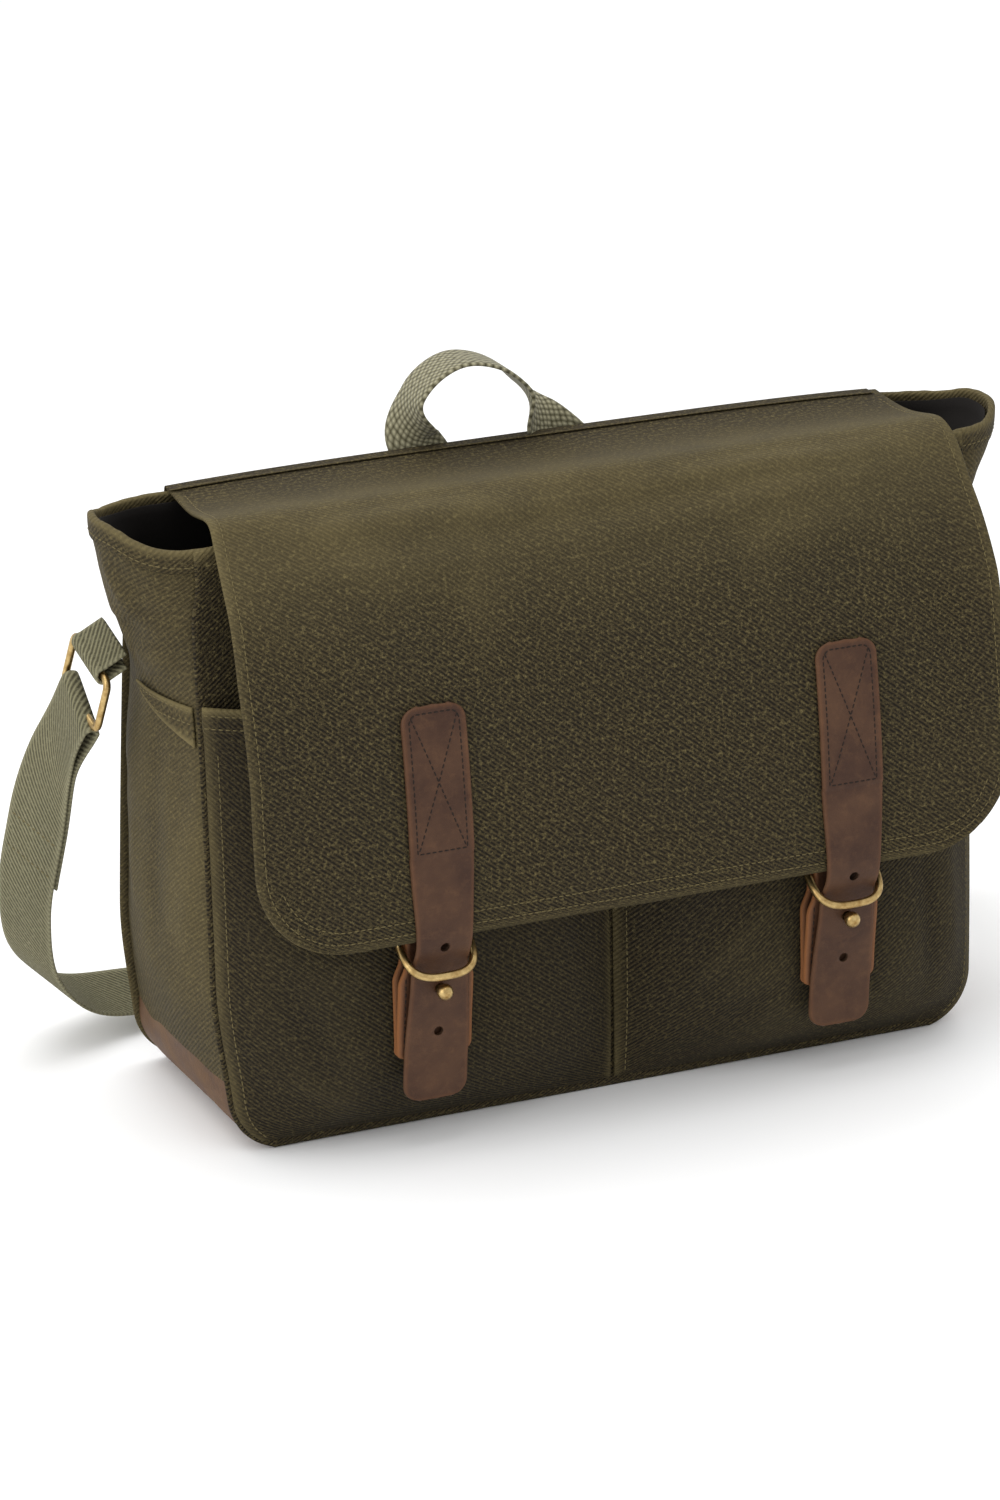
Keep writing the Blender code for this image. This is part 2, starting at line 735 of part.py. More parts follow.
def side_tab(name, side, paint, collection):
    """Webbing loop from the gusset round the side ring's upper bar."""
    bars, down = side_frame(side)
    top = Vector((side * SIDE_RING_X, SWING_Y, SWING_Z))
    radius = SIDE_WIRE + 2 * GAP + WEBBING / 2
    root = side_point(HALF, SWING_Z, math.pi * 0.62, CANVAS / 2)
    wall = root.x + CANVAS / 2 + GAP + 0.0012
    lift = 0.006
    upper = Vector((side * wall, SWING_Y, SWING_Z + lift + radius))
    lower = Vector((side * wall, SWING_Y, SWING_Z + lift - radius))
    line = [upper, upper.lerp(top + Vector((0, 0, radius)), 0.5)]
    for n in range(9):
        turn = math.pi / 2 - math.pi * n / 8
        line.append(top + Vector((side * math.cos(turn), 0, math.sin(turn))) * radius)
    line += [lower.lerp(top - Vector((0, 0, radius)), 0.5), lower]
    count = len(line) - 1

    def place(u, v):
        return line[round(v * count)] + bars * (u - 0.5) * SIDE_TAB_WIDTH

    return sheet(name, place, 2, count, WEBBING, paint, collection)


def strap_frames():
    """Middle line of the shoulder strap from the left ring's lower bar to the right one's,
    with the direction across its width and the direction towards the bag at each point."""
    bars, down = side_frame(-1)
    first = Vector((-SIDE_RING_X, SWING_Y, SWING_Z)) + down * SIDE_RING_DROP
    half = [first] + [Vector((-HALF * x, first.y + STRAP_RISE * y, STRAP_LOW + STRAP_RISE * z))
                      for x, y, z in STRAP_ROUTE]
    other = [Vector((-point.x, point.y, point.z)) for point in reversed(half[:-1])]
    path = smooth_path(half + other, 4)
    count = len(path) - 1
    frames = []
    for n, point in enumerate(path):
        flow = (path[min(n + 1, count)] - path[max(n - 1, 0)]).normalized()
        across = (bars - flow * bars.dot(flow)).normalized()
        frames.append((point, across, flow.cross(across).normalized()))
    return frames


def strap_length(frames):
    steps = [(b[0] - a[0]).length for a, b in zip(frames, frames[1:])]
    return [sum(steps[:n]) for n in range(len(steps) + 1)]


def shoulder_strap(paint, collection):
    """One length of webbing: folded back round each side ring, lying behind the bag."""
    frames = strap_frames()
    lengths = strap_length(frames)
    radius = SIDE_WIRE + 2 * GAP + WEBBING / 2
    near = WEBBING + 2 * GAP
    slider = [n for n, frame in enumerate(frames) if frame[0].x > SLIDER_X + SLIDER_LENGTH * 0.7][0]

    def layer(n, sign):
        """Outer layer at sign -1, inner layer at +1, close together away from the ring."""
        point, _, inward = frames[n]
        away = min(lengths[n], lengths[-1] - lengths[n])
        apart = smooth_step(away / 0.035)
        if sign < 0:
            return point - inward * radius * (1 - apart)
        return point + inward * (radius * (1 - apart) + near * apart)

    def wrap(n, start):
        point, _, inward = frames[n]
        flow = frames[1][0] - frames[0][0] if n == 0 else frames[-2][0] - frames[-1][0]
        flow = (flow - inward * flow.dot(inward)).normalized()
        turns = [math.pi * k / 8 for k in range(1, 8)]
        made = [point + (inward * math.cos(turn) - flow * math.sin(turn)) * radius for turn in turns]
        return made if start else list(reversed(made))

    last = len(frames) - 1
    back = [n for n in range(last) if lengths[n] <= FOLD_BACK_LEFT]
    line = [(layer(n, 1), frames[n][1]) for n in reversed(back)]
    line += [(point, frames[0][1]) for point in wrap(0, True)]
    line += [(layer(n, -1), frames[n][1]) for n in range(last + 1)]
    line += [(point, frames[-1][1]) for point in wrap(last, False)]
    line += [(layer(n, 1), frames[n][1]) for n in range(last, slider, -1)]
    count = len(line) - 1

    def place(u, v):
        point, across = line[round(v * count)]
        return point + across * (u - 0.5) * SHOULDER_WIDTH

    made = sheet("shoulder_strap", place, 2, count, WEBBING, paint, collection)
    return hang(made, (0.0, SWING_Y, SWING_Z))


def strap_slider(paint, collection, tools):
    """Cast frame with two slots, lying on the inner side of the webbing."""
    frames = strap_frames()
    point, across, inward = min(frames, key=lambda frame: abs(frame[0].x - SLIDER_X))
    flow = across.cross(inward).normalized()
    wide = SHOULDER_WIDTH + 2 * (GAP + SLIDER_BAR)
    shape = bmesh.new()
    bmesh.ops.create_cube(shape, size=1.0, matrix=Matrix.Diagonal((SLIDER_LENGTH, wide, SLIDER_THICK, 1)))
    mesh = bpy.data.meshes.new("strap_slider")
    shape.to_mesh(mesh)
    shape.free()
    made = bpy.data.objects.new("strap_slider", mesh)
    slot = (SLIDER_LENGTH - 3 * SLIDER_BAR) / 2
    shape = bmesh.new()
    for sign in (-1, 1):
        centre = Matrix.Translation((sign * (SLIDER_BAR + slot) / 2, 0, 0))
        bmesh.ops.create_cube(shape, size=1.0,
                              matrix=centre @ Matrix.Diagonal((slot, SHOULDER_WIDTH + 2 * GAP, 0.02, 1)))
    mesh = bpy.data.meshes.new("slider_slots")
    shape.to_mesh(mesh)
    shape.free()
    slots = bpy.data.objects.new("slider_slots", mesh)
    slots.display_type = "WIRE"
    slots.hide_render = True
    tools.objects.link(slots)
    centre = point + inward * (WEBBING / 2 + GAP + SLIDER_THICK / 2 + 0.0004)
    turn = Matrix((flow, across, inward)).transposed().to_4x4()
    for item in (made, slots):
        item.matrix_world = Matrix.Translation(centre) @ turn
    cut(made, slots)
    return finish(made, paint, collection, smooth=False)


def hang(made, pivot):
    """Move a piece's origin to its joint's axis without moving its surface."""
    made.data.transform(Matrix.Translation(-Vector(pivot)))
    made.location = pivot
    return made


def build():
    clear_scene()
    bag = new_collection("messenger_bag")
    tools = new_collection("cutters")
    canvas = material("waxed canvas", (0.060, 0.052, 0.030), 0.85)
    cloth = material("lining cloth", (0.014, 0.013, 0.012), 0.90)
    webbing = material("cotton webbing", (0.150, 0.150, 0.105), 0.90)
    leather = material("oiled leather", (0.070, 0.035, 0.020), 0.60)
    brass = material("aged brass", (0.420, 0.300, 0.140), 0.35, 1.0)
    board = material("stiffener board", (0.200, 0.160, 0.110), 0.85)

    gusset_inset = LEATHER + 2 * GAP + CANVAS / 2
    board_z = gusset_inset + CANVAS / 2 + GAP + BOARD / 2
    lining_inset = gusset_inset + CANVAS / 2 + LINING_SLACK + LINING / 2
    lining_floor = board_z + BOARD / 2 + GAP + LINING / 2
    stack = GAP + CANVAS / 2 + LINING / 2

    panel("front_panel", front_skin, 1, canvas, bag)
    panel("back_panel", back_skin, -1, canvas, bag)
    leather_base(leather, bag)
    bottom_panel(gusset_inset, canvas, bag)
    base_board(board_z, board, bag)
    lining(lining_inset, lining_floor, cloth, bag)
    flap_top("flap_top", 0.0, CANVAS, canvas, bag)
    flap_top("flap_top_lining", -stack, LINING, cloth, bag)
    for name, offset, thick, short, paint in (
        ("flap_front", 0.0, CANVAS, 0.0, canvas),
        ("flap_front_lining", -stack, LINING, 0.003, cloth),
    ):
        hang(flap_front(name, offset, thick, short, paint, bag), (0.0, FOLD_AXIS_Y, FLAP_AXIS_Z))
    grab_handle(webbing, bag)
    shoulder_strap(webbing, bag)
    strap_slider(brass, bag, tools)
    for word, side in (("left", -1), ("right", 1)):
        gusset(word + "_gusset", side, gusset_inset, canvas, bag)
        pocket(word + "_pocket", side, canvas, bag)
        pocket_ear(word + "_pocket_ear", side, gusset_inset, canvas, bag)
        closure_tab(word + "_closure_tab", side, leather, bag, tools)
        d_ring(word + "_d_ring", side, brass, bag)
        stud(word + "_stud", side, brass, bag)
        stud_screw(word + "_stud_screw", side, brass, bag)
        strap_sewn(word + "_strap_sewn", side, leather, bag)
        strap_end(word + "_strap_end", side, leather, bag, tools)
        handle_end(word + "_handle_end", side, webbing, bag)
        side_tab(word + "_side_tab", side, webbing, bag)
        side_ring(word + "_side_ring", side, brass, bag)


build()
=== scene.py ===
import bpy
import numpy as np
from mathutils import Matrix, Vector


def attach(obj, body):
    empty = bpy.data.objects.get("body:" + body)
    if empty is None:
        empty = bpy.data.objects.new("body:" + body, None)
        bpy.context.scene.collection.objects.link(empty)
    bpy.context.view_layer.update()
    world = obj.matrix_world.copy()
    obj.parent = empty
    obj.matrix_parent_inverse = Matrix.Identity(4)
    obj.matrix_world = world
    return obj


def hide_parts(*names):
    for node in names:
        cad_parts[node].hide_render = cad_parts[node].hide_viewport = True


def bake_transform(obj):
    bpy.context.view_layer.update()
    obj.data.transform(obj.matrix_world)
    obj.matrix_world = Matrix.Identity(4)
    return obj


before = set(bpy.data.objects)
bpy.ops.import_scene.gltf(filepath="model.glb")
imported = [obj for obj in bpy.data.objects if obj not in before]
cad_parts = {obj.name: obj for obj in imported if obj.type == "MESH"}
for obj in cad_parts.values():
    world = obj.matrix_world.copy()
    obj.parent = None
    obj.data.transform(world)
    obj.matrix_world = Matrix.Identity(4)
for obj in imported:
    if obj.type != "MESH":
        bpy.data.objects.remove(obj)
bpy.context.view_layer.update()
print("frame loaded:", len(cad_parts), "nodes")

# Everything is in metres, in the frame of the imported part: X right, Y back, Z up, floor at Z = 0.

# Camera, light and floor.

studio = {
    "cameraAt": (-1.182, -2.5021, 1.1897),
    "turn": 24.7,            # degrees to the right of straight ahead
    "drop": 20.5,            # degrees below the horizon
    "lens": 144.0,
    "worldLight": 0.92,
    "topLight": 22.0,
    "sideLight": 15.0,
    "frontLight": 2.0,
    "floorColour": "#ffffff",
}


def linear(hexColour):
    # sRGB hex to linear: divide by 12.92 below 0.04045, else the 2.4 power curve
    parts = np.array([int(hexColour[n:n + 2], 16) / 255 for n in (1, 3, 5)])
    curve = np.where(parts <= 0.04045, parts / 12.92, ((parts + 0.055) / 1.055) ** 2.4)
    return tuple(float(value) for value in curve) + (1.0,)


def addNode(tree, kind, values=None, links=None, **settings):
    # one node with its settings, input values and incoming links
    node = tree.nodes.new("ShaderNode" + kind)
    for name, value in settings.items():
        setattr(node, name, value)
    for name, value in (values or {}).items():
        node.inputs[name].default_value = value
    for name, socket in (links or {}).items():
        tree.links.new(socket, node.inputs[name])
    return node


def newMaterial(name, values):
    made = bpy.data.materials.new(name)
    made.use_nodes = True
    tree = made.node_tree
    shader = tree.nodes["Principled BSDF"]
    for socket, value in values.items():
        shader.inputs[socket].default_value = value
    return made, tree, shader


def aimed(place, target):
    # the turn that makes local -Z look from place to target
    direction = Vector(target) - Vector(place)
    return direction.to_track_quat("-Z", "Y").to_euler()


def softBox(name, place, target, size, power):
    lamp = bpy.data.lights.new(name, "AREA")
    lamp.shape = "RECTANGLE"
    lamp.size, lamp.size_y = size
    lamp.energy = power
    made = bpy.data.objects.new(name, lamp)
    made.location = place
    made.rotation_euler = aimed(place, target)
    bpy.context.scene.collection.objects.link(made)


def makeStudio():
    turn, drop = np.radians(studio["turn"]), np.radians(studio["drop"])
    place = Vector(studio["cameraAt"])
    ahead = Vector((np.sin(turn) * np.cos(drop), np.cos(turn) * np.cos(drop), -np.sin(drop)))
    view = bpy.data.cameras.new("camera")
    view.lens = studio["lens"]
    view.sensor_width = 36.0
    view.clip_end = 100.0
    camera = bpy.data.objects.new("camera", view)
    camera.location = place
    camera.rotation_euler = ahead.to_track_quat("-Z", "Y").to_euler()
    bpy.context.scene.collection.objects.link(camera)
    bpy.context.scene.camera = camera
    softBox("overheadSoftBox", (-0.3, 0.3, 1.9), (0, 0.02, 0.2), (2.2, 1.8), studio["topLight"])
    softBox("leftSoftBox", (-2.0, -0.7, 1.1), (0, 0, 0.15), (1.4, 1.8), studio["sideLight"])
    softBox("frontSoftBox", (0.9, -2.4, 1.3), (0, 0, 0.15), (2.0, 1.6), studio["frontLight"])
    world = bpy.data.worlds.new("studioWorld")
    world.use_nodes = True
    world.node_tree.nodes["Background"].inputs["Color"].default_value = (1, 1, 1, 1)
    world.node_tree.nodes["Background"].inputs["Strength"].default_value = studio["worldLight"]
    bpy.context.scene.world = world
    bpy.context.scene.view_settings.view_transform = "Standard"

    mesh = bpy.data.meshes.new("floor")
    reach = 14.0
    mesh.from_pydata([(-reach, -reach, 0), (reach, -reach, 0), (reach, reach, 0), (-reach, reach, 0)], [],
                     [(0, 1, 2, 3)])
    floor = bpy.data.objects.new("floor", mesh)
    paint, tree, shader = newMaterial("white painted floor", {"Roughness": 0.6})
    where = addNode(tree, "TexCoord")
    cloud = addNode(tree, "TexNoise", {"Scale": 3.0, "Detail": 2.0}, {"Vector": where.outputs["Object"]})
    tint = addNode(tree, "Mix", {0: 0.5, 6: linear(studio["floorColour"]), 7: linear("#fbfbfb")},
                   {0: cloud.outputs["Fac"]}, data_type="RGBA")
    tree.links.new(tint.outputs[2], shader.inputs["Base Color"])
    mesh.materials.append(paint)
    bpy.context.scene.collection.objects.link(floor)


makeStudio()
print("studio ready")

# Finishes.

cloth = {
    "rib": 0.0019,           # spacing of the twill ribs of a heavy two-ply canvas
    "ribAngle": 52.0,        # degrees of the ribs against the cloth's width
    "dark": "#100d07",
    "middle": "#3a311e",
    "light": "#786c46",
    # the pale colour for real wear and for painted highlight alike
    "wornAndLit": "#6a5f3f",
    # a darker copy of the same palette for the pockets: painted shade, not a different cloth
    "shadeDark": "#0d0a06", "shadeMiddle": "#322a19", "shadeLight": "#5d5335",
}
webbing = {
    "rib": 0.0023,           # heavy twill webbing has about 11 ribs to the inch
    "pebble": 0.0024,        # basket weave of the handle
    "dark": "#423f2e",
    "light": "#7a765b",
}
hide = {
    "dark": "#382114",
    "middle": "#4b3221",
    "paler": "#6b4b30",
    "edge": "#7c4f2c",
    "pore": 0.0009,
}


def twillFinish(name, look, rib, depth, angle, shine):
    # Cotton twill with a wax finish: matte diagonal ribs of twisted yarn, paler where it is worn and where painted
    # highlight is laid on through the same attribute.
    paint, tree, shader = newMaterial(name, {"Roughness": 0.8, "Sheen Weight": shine,
                                             "Sheen Roughness": 0.5, "Specular IOR Level": 0.18})
    flat = addNode(tree, "UVMap", uv_map="cloth")
    turned = addNode(tree, "Mapping", {"Rotation": (0, 0, np.radians(angle))},
                     {"Vector": flat.outputs["UV"]})
    ribs = addNode(tree, "TexWave", {"Scale": 2 * np.pi / (20 * rib), "Distortion": 0.45, "Detail": 2.0,
                                     "Detail Scale": 2.2, "Detail Roughness": 0.6},
                   {"Vector": turned.outputs["Vector"]}, wave_type="BANDS", bands_direction="X")
    yarn = addNode(tree, "TexNoise", {"Scale": 1 / (rib * 0.8), "Detail": 3.0, "Roughness": 0.7},
                   {"Vector": flat.outputs["UV"]})
    place = addNode(tree, "TexCoord")
    patch = addNode(tree, "TexNoise", {"Scale": 1 / 0.045, "Detail": 4.0, "Roughness": 0.62},
                    {"Vector": place.outputs["Object"]})
    fleck = addNode(tree, "TexNoise", {"Scale": 1 / 0.0021, "Detail": 3.0, "Roughness": 0.85},
                    {"Vector": flat.outputs["UV"]})
    thread = addNode(tree, "Math", {1: 1.15}, {0: ribs.outputs["Fac"]}, operation="POWER")
    weave = addNode(tree, "Mix", {6: linear(look["dark"]), 7: linear(look["middle"])},
                    {0: thread.outputs[0]}, data_type="RGBA")
    specks = addNode(tree, "MapRange", {"From Min": 0.50, "From Max": 0.72, "To Max": 0.7},
                     {"Value": fleck.outputs["Fac"]})
    flecked = addNode(tree, "Mix", {7: linear(look["light"])},
                      {0: specks.outputs[0], 6: weave.outputs[2]}, data_type="RGBA")
    # this attribute holds real wear together with painted light; both mix towards the same pale colour
    paler = addNode(tree, "Attribute", attribute_name="wear")
    uneven = addNode(tree, "MapRange", {"From Min": 0.3, "From Max": 0.7, "To Min": 0.75, "To Max": 1.1},
                     {"Value": patch.outputs["Fac"]})
    amount = addNode(tree, "Math", {}, {0: paler.outputs["Fac"], 1: uneven.outputs[0]},
                     operation="MULTIPLY", use_clamp=True)
    wornAndLit = addNode(tree, "Mix", {7: linear(look["wornAndLit"])}, {0: amount.outputs[0], 6: flecked.outputs[2]},
                   data_type="RGBA")
    shade = addNode(tree, "MapRange", {"From Min": 0.3, "From Max": 0.7, "To Min": 0.90, "To Max": 1.10},
                    {"Value": patch.outputs["Fac"]})
    final = addNode(tree, "Mix", {0: 1.0}, {6: wornAndLit.outputs[2], 7: shade.outputs[0]},
                    data_type="RGBA", blend_type="MULTIPLY")
    tree.links.new(final.outputs[2], shader.inputs["Base Color"])
    height = addNode(tree, "Math", {2: 0.0}, {0: yarn.outputs["Fac"], 1: fleck.outputs["Fac"],
                                              2: ribs.outputs["Fac"]}, operation="MULTIPLY_ADD")
    bump = addNode(tree, "Bump", {"Strength": 0.7, "Distance": depth}, {"Height": height.outputs[0]})
    tree.links.new(bump.outputs[0], shader.inputs["Normal"])
    rough = addNode(tree, "MapRange", {"To Min": 0.72, "To Max": 0.92}, {"Value": patch.outputs["Fac"]})
    tree.links.new(rough.outputs[0], shader.inputs["Roughness"])
    return paint


def pebbleFinish(name):
    # Basket-woven cotton webbing: rows of short fat thread humps with dark gaps between them.
    paint, tree, shader = newMaterial(name, {"Roughness": 0.88, "Sheen Weight": 0.12,
                                             "Specular IOR Level": 0.25})
    flat = addNode(tree, "UVMap", uv_map="cloth")
    turned = addNode(tree, "Mapping", {"Rotation": (0, 0, np.radians(45)), "Scale": (1.0, 0.8, 1.0)},
                     {"Vector": flat.outputs["UV"]})
    humps = addNode(tree, "TexVoronoi", {"Scale": 1 / webbing["pebble"], "Randomness": 0.22},
                    {"Vector": turned.outputs["Vector"]}, voronoi_dimensions="2D")
    fibre = addNode(tree, "TexNoise", {"Scale": 1 / 0.0007, "Detail": 3.0},
                    {"Vector": flat.outputs["UV"]})
    top = addNode(tree, "MapRange", {"From Min": 0.0, "From Max": 0.62, "To Min": 1.0, "To Max": 0.0},
                  {"Value": humps.outputs["Distance"]})
    tint = addNode(tree, "Mix", {6: linear("#48442f"), 7: linear("#a39e82")}, {0: top.outputs[0]},
                   data_type="RGBA")
    uneven = addNode(tree, "MapRange", {"To Min": 0.75, "To Max": 1.25}, {"Value": fibre.outputs["Fac"]})
    final = addNode(tree, "Mix", {0: 1.0}, {6: tint.outputs[2], 7: uneven.outputs[0]},
                    data_type="RGBA", blend_type="MULTIPLY")
    tree.links.new(final.outputs[2], shader.inputs["Base Color"])
    bump = addNode(tree, "Bump", {"Strength": 0.9, "Distance": 0.0006}, {"Height": top.outputs[0]})
    tree.links.new(bump.outputs[0], shader.inputs["Normal"])
    return paint


def leatherFinish(name, colours, rough):
    # Oiled pull-up leather: matte brown, mottled where the wax has moved, with pores and light scuffs.
    paint, tree, shader = newMaterial(name, {"Roughness": rough, "Specular IOR Level": 0.25})
    place = addNode(tree, "TexCoord")
    cloud = addNode(tree, "TexNoise", {"Scale": 1 / 0.022, "Detail": 5.0, "Roughness": 0.6},
                    {"Vector": place.outputs["Object"]})
    pores = addNode(tree, "TexVoronoi", {"Scale": 1 / hide["pore"]}, {"Vector": place.outputs["Object"]})
    scuffs = addNode(tree, "TexNoise", {"Scale": 1 / 0.006, "Detail": 6.0, "Roughness": 0.75},
                     {"Vector": place.outputs["Object"]})
    first = addNode(tree, "MapRange", {"From Min": 0.35, "From Max": 0.65}, {"Value": cloud.outputs["Fac"]})
    base = addNode(tree, "Mix", {6: linear(colours[0]), 7: linear(colours[1])}, {0: first.outputs[0]},
                   data_type="RGBA")
    marks = addNode(tree, "MapRange", {"From Min": 0.50, "From Max": 0.80, "To Max": 0.4},
                    {"Value": scuffs.outputs["Fac"]})
    scuffed = addNode(tree, "Mix", {7: linear(colours[2])}, {0: marks.outputs[0], 6: base.outputs[2]},
                      data_type="RGBA")
    paler = addNode(tree, "Attribute", attribute_name="wear")
    wornAndLit = addNode(tree, "Mix", {7: linear(hide["edge"])}, {0: paler.outputs["Fac"], 6: scuffed.outputs[2]},
                   data_type="RGBA")
    tree.links.new(wornAndLit.outputs[2], shader.inputs["Base Color"])
    grain = addNode(tree, "Math", {}, {0: pores.outputs["Distance"], 1: scuffs.outputs["Fac"]},
                    operation="ADD")
    bump = addNode(tree, "Bump", {"Strength": 0.35, "Distance": 0.0003}, {"Height": grain.outputs[0]})
    tree.links.new(bump.outputs[0], shader.inputs["Normal"])
    gloss = addNode(tree, "MapRange", {"To Min": rough - 0.1, "To Max": rough + 0.12},
                    {"Value": cloud.outputs["Fac"]})
    tree.links.new(gloss.outputs[0], shader.inputs["Roughness"])
    return paint


def brassFinish(name):
    # Antique brass: warm plated metal, polished on the high parts and brown in the low ones.
    paint, tree, shader = newMaterial(name, {"Metallic": 1.0, "Roughness": 0.3})
    place = addNode(tree, "TexCoord")
    patina = addNode(tree, "TexNoise", {"Scale": 1 / 0.004, "Detail": 4.0, "Roughness": 0.65},
                     {"Vector": place.outputs["Object"]})
    spread = addNode(tree, "MapRange", {"From Min": 0.35, "From Max": 0.7}, {"Value": patina.outputs["Fac"]})
    tint = addNode(tree, "Mix", {6: linear("#c2a873"), 7: linear("#8a6c3e")}, {0: spread.outputs[0]},
                   data_type="RGBA")
    tree.links.new(tint.outputs[2], shader.inputs["Base Color"])
    rough = addNode(tree, "MapRange", {"To Min": 0.2, "To Max": 0.45}, {"Value": patina.outputs["Fac"]})
    tree.links.new(rough.outputs[0], shader.inputs["Roughness"])
    bump = addNode(tree, "Bump", {"Strength": 0.15, "Distance": 0.0001}, {"Height": patina.outputs["Fac"]})
    tree.links.new(bump.outputs[0], shader.inputs["Normal"])
    return paint


def plainFinish(name, first, second, size, rough, depth):
    # A quiet surface of two close tones with a fine bump: sewing thread, lining cotton or board.
    paint, tree, shader = newMaterial(name, {"Roughness": rough, "Specular IOR Level": 0.25})
    place = addNode(tree, "TexCoord")
    grain = addNode(tree, "TexNoise", {"Scale": 1 / size, "Detail": 3.0, "Roughness": 0.6},
                    {"Vector": place.outputs["Object"]})
    tint = addNode(tree, "Mix", {6: linear(first), 7: linear(second)}, {0: grain.outputs["Fac"]},
                   data_type="RGBA")
    tree.links.new(tint.outputs[2], shader.inputs["Base Color"])
    bump = addNode(tree, "Bump", {"Strength": 0.5, "Distance": depth}, {"Height": grain.outputs["Fac"]})
    tree.links.new(bump.outputs[0], shader.inputs["Normal"])
    return paint


waxedTwill = twillFinish("waxed cotton twill", cloth, cloth["rib"], 0.00040, cloth["ribAngle"], 0.0)
# The pockets get the same twill painted darker: painted shade where they face away from the light.
shadedPocketTwill = twillFinish("waxed cotton twill, painted darker as shade",
                          {"dark": cloth["shadeDark"], "middle": cloth["shadeMiddle"], "light": cloth["shadeLight"],
                           "wornAndLit": cloth["wornAndLit"]}, cloth["rib"], 0.00040, cloth["ribAngle"], 0.0)
strapTwill = twillFinish("cotton twill webbing",
                         {"dark": webbing["dark"], "middle": webbing["light"], "light": "#8a866c",
                          "wornAndLit": "#8c886e"}, webbing["rib"], 0.0006, -52.0, 0.0)
handleWeave = pebbleFinish("basket woven webbing")
leather = leatherFinish("oiled pull-up leather", (hide["dark"], hide["middle"], hide["paler"]), 0.55)
strapEdge = leatherFinish("burnished leather edge", ("#33231a", "#453223", "#5f4631"), 0.6)
baseLeather = leatherFinish("waxed base leather", ("#4a3220", "#5f4429", "#785838"), 0.6)
rawEdge = leatherFinish("cut leather edge", ("#4b2c18", hide["edge"], "#8c5c34"), 0.8)
brass = brassFinish("antique brass")
tanThread = plainFinish("waxed tan thread", "#4a4129", "#756943", 0.0004, 0.7, 0.0001)
brownThread = plainFinish("waxed brown thread", "#17100b", "#261a12", 0.0004, 0.7, 0.0001)
liningCotton = plainFinish("black lining cotton", "#0b0908", "#1c1815", 0.0008, 0.95, 0.0002)
greyBoard = plainFinish("pressed grey board", "#4a4238", "#5c5347", 0.003, 0.9, 0.0001)
print("finishes ready")

# Shapes.

bag = {
    "width": 0.400, "height": 0.308, "depth": 0.126, "mouthFront": 0.040, "mouthBack": 0.038,
    "corner": 0.028, "belly": 0.008, "wing": 0.029, "wingStart": 0.205,
    "leftSpread": 0.045, "rightSlack": 0.16, "frontDrop": 0.0042, "backDrop": 0.0052, "cornerDrop": 0.006,
    "canvas": 0.0018, "lining": 0.0006, "leather": 0.0024, "webbing": 0.0020, "gap": 0.0003,
}
halfWidth = bag["width"] / 2


def smoothStep(value):
    value = np.clip(value, 0.0, 1.0)
    return value * value * (3 - 2 * value)


def frontSkin(z):
    # outer face of the front panel: leans back towards the mouth with the 1.6 power of the height
    lean = bag["depth"] / 2 - bag["mouthFront"]
    return -(bag["depth"] / 2 - lean * np.clip(z / bag["height"], 0, None) ** 1.6)


def backSkin(z):
    lean = bag["depth"] / 2 - bag["mouthBack"]
    return bag["depth"] / 2 - lean * np.clip(z / bag["height"], 0, None) ** 1.6


def outlineHalf(z, inset=0.0):
    # half width at a height: straight sides above a quarter circle at the bottom corner
    radius = bag["corner"] - inset
    drop = bag["corner"] - z
    curved = halfWidth - bag["corner"] + np.sqrt(np.clip(radius * radius - drop * drop, 0, None))
    return np.where(z >= bag["corner"], halfWidth - inset, curved)


def sideBulge(z):
    wing = smoothStep((z - bag["wingStart"]) / (bag["height"] - bag["wingStart"]))
    return bag["belly"] * smoothStep(z / 0.080) + bag["wing"] * wing


def bulgePower(z):
    return 2.0 - smoothStep((z - bag["wingStart"]) / (bag["height"] - bag["wingStart"]))


def gussetHalf(z, inset):
    return (backSkin(z) - frontSkin(z)) / 2 - bag["canvas"] - bag["gap"] - inset


def sidePoint(x, z, turn, inset):
    # side wall: from the front seam at turn 0 to the back seam at turn pi, bulging by a power of the sine
    middle = (frontSkin(z) + backSkin(z)) / 2
    out = sideBulge(z) * np.abs(np.sin(turn)) ** bulgePower(z)
    y = middle - gussetHalf(z, inset) * np.cos(turn)
    return np.stack(np.broadcast_arrays(x + out, y, z), axis=-1)


def sideOutline(length, inset, top):
    # down the straight side, round the bottom corner, then along the floor
    radius = bag["corner"] - inset
    straight = top - bag["corner"]
    arc = radius * np.pi / 2
    turn = np.clip((length - straight) / radius, 0, np.pi / 2)
    x = halfWidth - bag["corner"] + radius * np.cos(turn) - np.clip(length - straight - arc, 0, None)
    z = np.where(length < straight, top - length, bag["corner"] - radius * np.sin(turn))
    return x, z


def softNoise(u, v, size, seed):
    # value noise: random heights on a square net of this size, joined by smooth steps, from -1 to 1
    heights = np.random.default_rng(seed).uniform(-1, 1, (97, 97))
    across, down = np.asarray(u) / size, np.asarray(v) / size
    column, row = np.floor(across).astype(int), np.floor(down).astype(int)
    s, t = smoothStep(across - column), smoothStep(down - row)
    a, b = heights[row % 97, column % 97], heights[row % 97, (column + 1) % 97]
    c, d = heights[(row + 1) % 97, column % 97], heights[(row + 1) % 97, (column + 1) % 97]
    return (a * (1 - s) + b * s) * (1 - t) + (c * (1 - s) + d * s) * t


